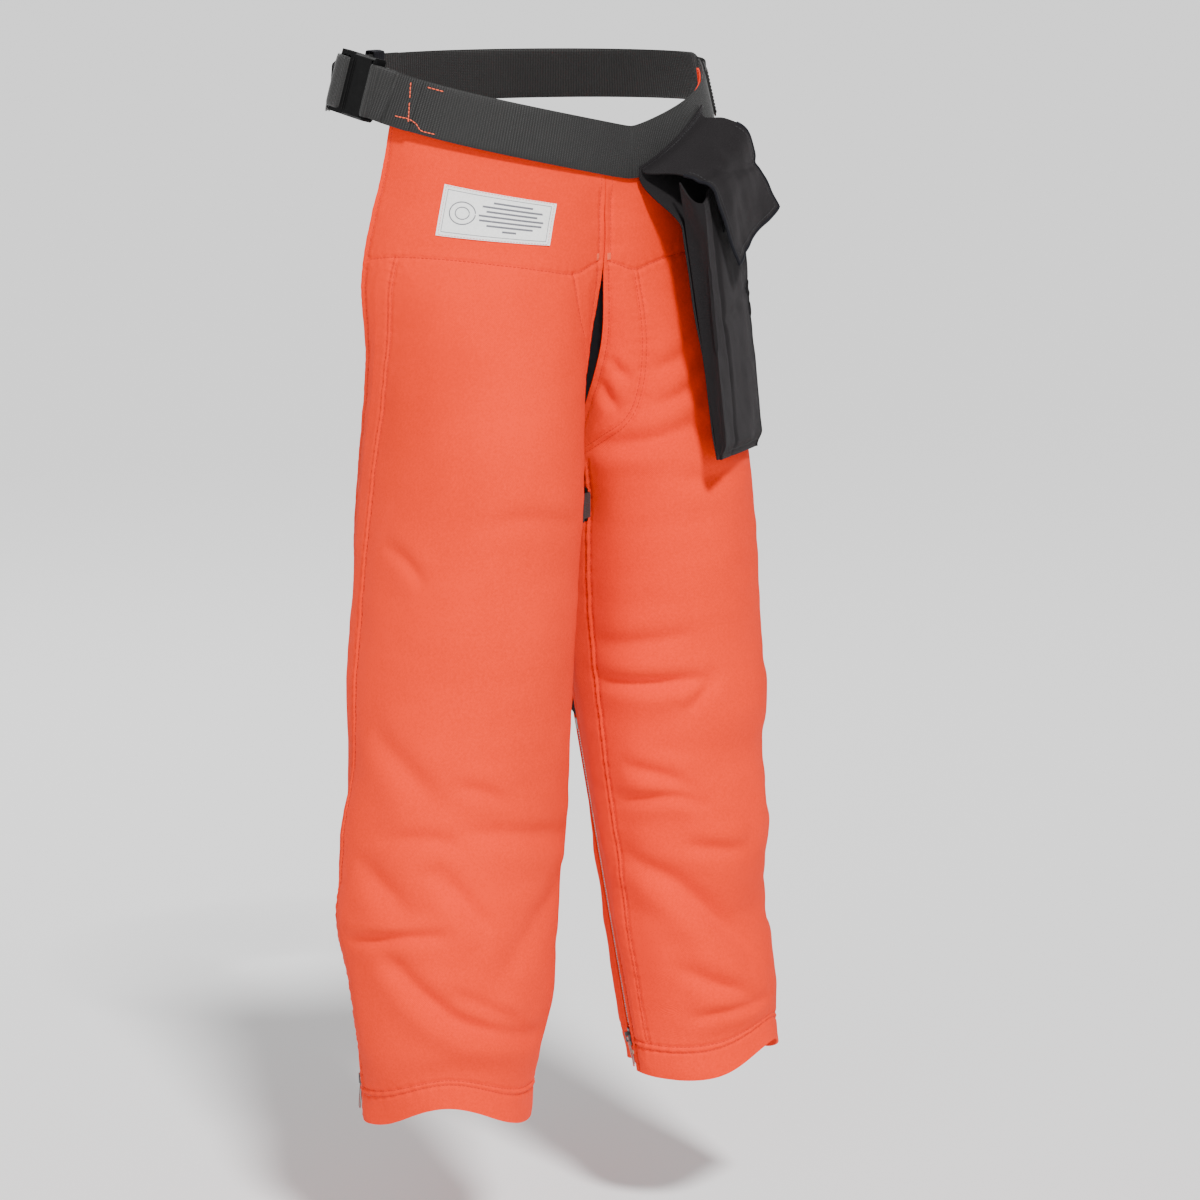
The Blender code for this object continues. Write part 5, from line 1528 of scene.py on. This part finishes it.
def make_socket_web(panel, place, sign, level_up):
    """The short web that holds the socket: sewn to the panel, round the socket's bar and back."""
    leg = panel.leg
    shares = (0.885, 0.925, 0.960) if sign < 0 else (0.110, 0.070, 0.035)
    lift = 0.0012 if sign < 0 else -0.0105
    inner = panel.at(np.array(shares), np.full(3, THIGH_LEVEL), lift)
    turned = ((-0.0300, -0.0034), (-0.0278, -0.0050), (-0.0258, -0.0051), (-0.0244, -0.0044),
              (-0.0239, -0.0018), (-0.0239, 0.0018), (-0.0244, 0.0044), (-0.0258, 0.0051),
              (-0.0276, 0.0046), (-0.0292, 0.0022))
    if sign < 0:
        turned = turned[:-1]
    weave = local_track(place, turned, level_up)
    back = panel.at(np.array(shares[::-1][1:]), np.full(2, THIGH_LEVEL), lift + math.copysign(0.0014, lift))
    straight = np.repeat(level_up[None, :], 3, axis=0)
    mesh = thigh_band(f"socket_webbing_{leg.side}", ((inner, straight), weave, (back, straight[:2])), 400)
    finish_piece(f"socket_webbing_{leg.side}", mesh, WEBBING, CHAPS,
                 (f"thigh_socket_web_{leg.side}",))


make_thigh_strap(RIGHT_PANEL, -1.0)
make_thigh_strap(LEFT_PANEL, 1.0)


# ---------------------------------------------------------------- buckles

def rounded_bar(frame, first, last, radius, flat=0.6):
    """A raised rounded ridge between two local points."""
    steps = np.linspace(0.0, 1.0, 14)[:, None]
    path = placed(frame, np.asarray(first) * (1 - steps) + np.asarray(last) * steps)
    ends = np.sqrt(np.clip(1.0 - (2.0 * steps[:, 0] - 1.0) ** 12, 0.04, 1.0))
    return tube_rings(path, np.array(frame.to_3x3().col[2]), radius * ends, 10, flat)


def make_ridges(name, frame, half, thick, socket):
    """Moulded ridges on both faces of the socket: two scaled at its mouth, one near its other end."""
    scale = half / HALF_HIP
    reach = half * 0.93
    blocks = []
    for face in (thick, -thick):
        for x, radius in ((-0.0016 * scale, 0.0014), (-0.0056 * scale, 0.0010), (-socket + 0.0046, 0.0009)):
            blocks.append(rounded_bar(frame, (x, -reach, face), (x, reach, face), radius * scale))
    solids_piece(f"{name}_socket_ridges", blocks, PLASTIC, CHAPS)


HALF_HIP, THICK_HIP = 0.030, 0.0065
HALF_THIGH, THICK_THIGH = 0.0165, 0.0042
SOCKET_HIP, SOCKET_THIGH = 0.045, 0.027
make_ridges("hip", HIP, HALF_HIP, THICK_HIP, SOCKET_HIP)
for thigh_side, thigh_sign in (("right", -1.0), ("left", 1.0)):
    make_ridges(f"thigh_{thigh_side}", thigh_frame(thigh_sign), HALF_THIGH, THICK_THIGH, SOCKET_THIGH)


def dress(made, material):
    """A CAD node that stays gets the finished material in all its slots."""
    if not made.material_slots:
        made.data.materials.append(material)
    for slot in made.material_slots:
        slot.material = material


for node_name, node in NODES.items():
    if "buckle" in node_name:
        dress(node, PLASTIC)
    elif node_name.startswith(("zip_slider", "zip_box")):
        dress(node, DARK_METAL)
    elif node_name.startswith("zip_stop"):
        dress(node, BRASS_METAL)


# ---------------------------------------------------------------- pouch

POUCH_TURN = 34.0
POUCH_WIDTH = 0.106
POUCH_DEPTH = 0.024
POUCH_DEPTH_LOW = 0.008
POUCH_CROWN = 0.003
POUCH_TOP = -0.060
POUCH_BOTTOM = -0.352
POUCH_LEAN = 0.045
POUCH_ALONG = 0.004
POUCH_OUT = 0.174
CANVAS_THICKNESS = 0.0012
GUSSET_SHARE = 0.13
HANGER_LAP = 0.010
HANGER_SLANT = 0.026
HANGER_OUTSET = 0.0049
MOUTH_LOW = -0.088
MOUTH_HIGH = -0.062
MOUTH_SAG = 0.019
COVER_TURN = 17.0
COVER_LENGTH = 0.080
COVER_COLUMNS = 70
COVER_ROWS = 80
COVER_ROOT = -0.052
COVER_SPAN = 0.099
BINDING_FIRST = 22


def pouch_matrix():
    """x along the pouch's width towards the wearer's back, y up, z outward."""
    turn = math.radians(POUCH_TURN)
    outward = Vector((math.sin(turn), -math.cos(turn), 0.0))
    along = Vector((math.cos(turn), math.sin(turn), 0.0))
    origin = outward * POUCH_OUT + along * POUCH_ALONG
    return Matrix(((along.x, 0.0, outward.x, origin.x), (along.y, 0.0, outward.y, origin.y),
                   (0.0, 1.0, 0.0, 0.0), (0.0, 0.0, 0.0, 1.0)))


POUCH = pouch_matrix()
POUCH_BACK_INTO = np.array(POUCH.inverted())


def pouch_share(y):
    return np.clip((POUCH_TOP - y) / (POUCH_TOP - POUCH_BOTTOM), 0.0, 1.0)


def belt_behind(x, outset):
    """The belt's angle, surface and level behind each x of the pouch."""
    angles = np.linspace(5.0, 88.0, 300)
    local = belt_points(angles, outset) @ POUCH_BACK_INTO[:3, :3].T + POUCH_BACK_INTO[:3, 3]
    angle = np.interp(x, local[:, 0], angles)
    point = belt_points(angle, outset)
    return angle, point @ POUCH_BACK_INTO[:3, :3].T + POUCH_BACK_INTO[:3, 3]


def noise_on(grid, scale, seed):
    return smooth_noise(grid.reshape(-1, 3), scale, seed).reshape(grid.shape[:-1])


def make_pouch_back():
    """The back panel: it laps over the webbing, hangs away from it and carries the pouch."""
    x = np.linspace(-POUCH_WIDTH / 2, POUCH_WIDTH / 2, 60)
    share = np.linspace(0.0, 1.0, 150)[:, None]
    _, surface = belt_behind(x, HANGER_OUTSET)
    low_edge = surface[:, 1] - BELT_HEIGHT / 2
    lap = HANGER_LAP + HANGER_SLANT * (x / POUCH_WIDTH + 0.5)
    top = low_edge + lap
    y = top[None, :] * (1 - share) + POUCH_BOTTOM * share
    free = ease((low_edge[None, :] + 0.002 - y) / 0.050)
    z = surface[:, 2][None, :] * (1 - free) + POUCH_LEAN * pouch_share(y) * free
    local = np.stack((np.broadcast_to(x, y.shape), y, z), axis=-1)
    grid = placed_grid(POUCH, local)
    slack = ease((low_edge[None, :] - 0.006 - y) / 0.03) * ease((y - POUCH_BOTTOM) / 0.03)
    sway = 0.0012 * (1 + noise_on(grid, (0.05, 0.05, 0.10), 41)) * slack
    grid = grid - grid_normals(grid) * sway[..., None]
    mesh = skin_mesh("pouch_back_canvas", grid, CANVAS_THICKNESS)
    piece = finish_piece("pouch_back_canvas", mesh, CANVAS, CHAPS,
                         ("pouch_back", "pouch_hanger"))
    picked = np.linspace(2, 57, 40).astype(int)
    heights = 0.004 + lap[picked] - BELT_HEIGHT / 2 - 0.008
    angle, _ = belt_behind(x[picked], HANGER_OUTSET)
    points = belt_points(angle, HANGER_OUTSET + 0.0002) + np.outer(heights, (0, 0, 1.0))
    stitch_piece("pouch_hanger_stitches", [stitch_run(points, belt_outward(angle))], BLACK_THREAD, CHAPS)


def lifted_run(points, normals):
    """Stitches that stand just off a cloth."""
    return stitch_run(points + normals * 0.0001, normals)


def mouth_level(x):
    return MOUTH_LOW + (MOUTH_HIGH - MOUTH_LOW) * ease(x / POUCH_WIDTH + 0.5)


def pouch_wall(u, down):
    """Local points of the outer wall. u runs up the front gusset, over the face and down the other."""
    half = POUCH_WIDTH / 2
    left, right = np.clip(u / GUSSET_SHARE, 0, 1), np.clip((1 - u) / GUSSET_SHARE, 0, 1)
    face = np.clip((u - GUSSET_SHARE) / (1 - 2 * GUSSET_SHARE), 0, 1)
    side = np.where(u < 0.5, left, right)
    loop = np.sin(np.pi * side)
    flat_x = -half + POUCH_WIDTH * face
    near_front = np.where(u < 0.5, np.sin(np.pi / 2 * side) * np.exp(-(face / 0.30) ** 2), 0.0)
    top = mouth_level(flat_x) - MOUTH_SAG * near_front
    y = top * (1 - down) + POUCH_BOTTOM * down
    share = pouch_share(y)
    pinch = 1.0 - 0.70 * ease((POUCH_BOTTOM + 0.016 - y) / 0.016)
    depth = (POUCH_DEPTH + (POUCH_DEPTH_LOW - POUCH_DEPTH) * share) * pinch
    crown = POUCH_CROWN * (1 - (2 * face - 1) ** 2) * pinch
    lip = 0.0011 * (np.exp(-(face / 0.022) ** 2) + np.exp(-((1 - face) / 0.022) ** 2)) * (side >= 1)
    slump = np.exp(-((top - y) / 0.030) ** 2)
    tuck = (0.0050 * (1 - 0.5 * share) - 0.0105 * slump * (u < 0.5)) * loop
    x = flat_x + np.where(u < 0.5, tuck, -tuck)
    pleat = 0.0026 * np.exp(-((x + half - 0.020 - 0.010 * share) / 0.0035) ** 2) * ease(share * 4)
    bow = -0.0035 * slump * np.sin(np.pi * face)
    z = POUCH_LEAN * share + 0.0006 + depth * side + crown + lip - pleat * (side >= 1) * pinch + bow
    return np.stack((x, y, z), axis=-1)


def make_pouch_front():
    u, down = np.meshgrid(np.linspace(0.0, 1.0, 130), np.linspace(0.0, 1.0, 150))
    local = pouch_wall(u, down)
    grid = placed_grid(POUCH, local)
    ends = ease(down / 0.06) * ease((1 - down) / 0.06) * ease(np.minimum(u, 1 - u) / 0.05)
    wave = 0.0011 * noise_on(grid, (0.045, 0.045, 0.11), 51) + 0.0004 * noise_on(grid, (0.02, 0.02, 0.03), 52)
    sag = -0.0018 * np.exp(-((local[..., 1] + 0.215 - 0.35 * local[..., 0]) / 0.006) ** 2)
    grid = grid + grid_normals(grid) * ((wave + sag * (u > 0.3)) * ends)[..., None]
    hem = np.maximum(ease((0.040 - down) / 0.006), ease((down - 0.965) / 0.006))
    mesh = skin_mesh("pouch_front_canvas", grid, CANVAS_THICKNESS * (1.0 + 0.5 * hem))
    piece = finish_piece("pouch_front_canvas", mesh, CANVAS, CHAPS, ("pouch_front",))
    normals = grid_normals(grid)
    runs = []
    for column in (21, 108):
        runs.append(lifted_run(grid[6:146, column], normals[6:146, column]))
    for row in (5, 145):
        runs.append(lifted_run(grid[row, 19:111], normals[row, 19:111]))
    stitch_piece("pouch_stitches", runs, BLACK_THREAD, CHAPS)
    middle = np.flatnonzero((np.abs(local[75, :, 0]) < 0.017) & (u[0] > 0.3) & (u[0] < 0.7))
    rows = np.flatnonzero((local[:, 65, 1] < -0.102) & (local[:, 65, 1] > -0.130))
    patch = grid[rows[0]:rows[-1] + 1, middle[0]:middle[-1] + 1]
    patch = patch + grid_normals(patch) * 0.0016
    finish_piece("hook_tape_patch", skin_mesh("hook_tape_patch", patch, 0.0012), HOOK_TAPE, CHAPS,
                 ("pouch_hook_patch",))


def cover_grid():
    """The cover leaves the webbing along a slant, arches over the mouth and hangs askew."""
    across = np.linspace(0.0, 1.0, COVER_COLUMNS)
    turn = math.radians(COVER_TURN)
    down = np.array((math.sin(turn), -math.cos(turn), 0.0))
    out = np.array((0.0, 0.0, 1.0))
    root_x = COVER_ROOT + COVER_SPAN * across
    _, surface = belt_behind(root_x, HANGER_OUTSET + 0.0019)
    columns = []
    for number, a in enumerate(across):
        root = np.array((root_x[number], surface[number, 1] - BELT_HEIGHT / 2 + 0.008 + 0.022 * a,
                         surface[number, 2]))
        ridge = np.array((root[0] + 0.006, root[1] - 0.014, 0.0335))
        lift = 0.010 * ease((a - 0.45) / 0.55) + 0.004 * ease((0.25 - a) / 0.25)
        bulge = 0.0045 * math.sin(math.pi * a)
        knots = [root, root + (0.0005, -0.0040, 0.0040), root * 0.45 + ridge * 0.55 + (0.0, 0.0035, 0.0),
                 ridge, ridge + down * 0.020 + out * (0.0075 + bulge * 0.6),
                 ridge + down * 0.050 + out * (0.0125 + bulge + lift * 0.4),
                 ridge + down * COVER_LENGTH + out * (0.0175 + bulge * 0.7 + lift)]
        columns.append(through(knots, COVER_ROWS))
    local = np.stack(columns, axis=1)
    grid = placed_grid(POUCH, local)
    down_share = np.linspace(0.0, 1.0, COVER_ROWS)[:, None]
    wave = (0.0016 * noise_on(grid, (0.05, 0.05, 0.045), 61)
            + 0.0004 * noise_on(grid, (0.02, 0.02, 0.02), 62))
    loose = ease((down_share - 0.12) / 0.3)
    furrow = -0.0022 * np.exp(-((down_share - 0.38 - 0.25 * across[None, :]) / 0.035) ** 2)
    return grid + grid_normals(grid) * ((wave + furrow) * loose)[..., None]


def fold_with_flap(piece):
    """Bakes a piece's transform into its mesh; the piece stays without a parent."""
    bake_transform(piece)


def make_cover():
    grid = cover_grid()
    piece = finish_piece("pouch_cover_flap", skin_mesh("pouch_cover_flap", grid, CANVAS_THICKNESS), CANVAS,
                         None, ("pouch_flap",))
    fold_with_flap(piece)
    normals = grid_normals(grid)
    first = BINDING_FIRST
    rim, rim_normal = (np.concatenate((field[first:, 0], field[-1, 1:-1], field[:first - 1:-1, -1]))
                       for field in (grid, normals))
    rim = rim - rim_normal * CANVAS_THICKNESS / 2
    binding = loft_mesh("cover_binding", tube_rings(rim, rim_normal, 0.0019, 10, 0.78))
    fold_with_flap(finish_piece("cover_binding", binding, BINDING, None))
    runs = [lifted_run(grid[first:-3, column], normals[first:-3, column])
            for column in (4, COVER_COLUMNS - 5)]
    runs.append(lifted_run(grid[-4, 4:-4], normals[-4, 4:-4]))
    fold_with_flap(stitch_piece("cover_stitches", runs, BLACK_THREAD, None))


make_pouch_back()
make_pouch_front()
make_cover()


# ---------------------------------------------------------------- floor, light and camera

FLOOR_LEVEL = -1.150
VIEW_AZIMUTH = -35.0
VIEW_ELEVATION = 10.0
VIEW_DISTANCE = 4.5
VIEW_TARGET = Vector((0.0609, -0.0426, -0.51))
SENSOR = 36.0
LENS = 136.35


def make_floor():
    bpy.ops.mesh.primitive_plane_add(size=120.0, location=(0.0, 0.0, FLOOR_LEVEL))
    floor = bpy.context.active_object
    floor.name = "floor"
    floor.data.materials.append(shader_nodes("pale_floor", (0.95, 0.95, 0.95), 0.9, specular=0.2)[0])


def direction(azimuth, elevation):
    """From the object towards a view: degrees round from the front, and degrees up."""
    turn, rise = math.radians(azimuth), math.radians(elevation)
    return Vector((math.sin(turn) * math.cos(rise), -math.cos(turn) * math.cos(rise), math.sin(rise)))


def add_to_scene(name, data, look):
    """Links a lamp or camera that looks the given way."""
    made = bpy.data.objects.new(name, data)
    made.rotation_euler = look.to_track_quat("-Z", "Y").to_euler()
    bpy.context.scene.collection.objects.link(made)
    return made


def area_light(name, place, aim, size, power):
    data = bpy.data.lights.new(name, "AREA")
    data.shape = "DISK"
    data.size = size
    data.energy = power
    add_to_scene(name, data, Vector(aim) - Vector(place)).location = place


def make_world():
    world = bpy.data.worlds.new("studio")
    world.use_nodes = True
    background = world.node_tree.nodes["Background"]
    background.inputs["Color"].default_value = (1.0, 1.0, 1.0, 1.0)
    background.inputs["Strength"].default_value = 0.42
    bpy.context.scene.world = world


def make_camera():
    data = bpy.data.cameras.new("camera")
    data.sensor_width = SENSOR
    data.lens = LENS
    away = direction(VIEW_AZIMUTH, VIEW_ELEVATION)
    camera = add_to_scene("camera", data, -away)
    camera.location = VIEW_TARGET + away * VIEW_DISTANCE
    bpy.context.scene.camera = camera


def sun_light(name, azimuth, elevation, strength, spread_degrees):
    data = bpy.data.lights.new(name, "SUN")
    data.energy = strength
    data.angle = math.radians(spread_degrees)
    add_to_scene(name, data, -direction(azimuth, elevation))


make_floor()
make_world()
make_camera()
sun_light("key", -18.0, 46.0, 4.3, 8.0)
area_light("fill", (-2.8, -2.0, 0.6), (0.0, 0.0, -0.5), 2.4, 30.0)
area_light("back", (0.6, 3.2, 1.8), (0.0, 0.0, -0.4), 2.4, 40.0)
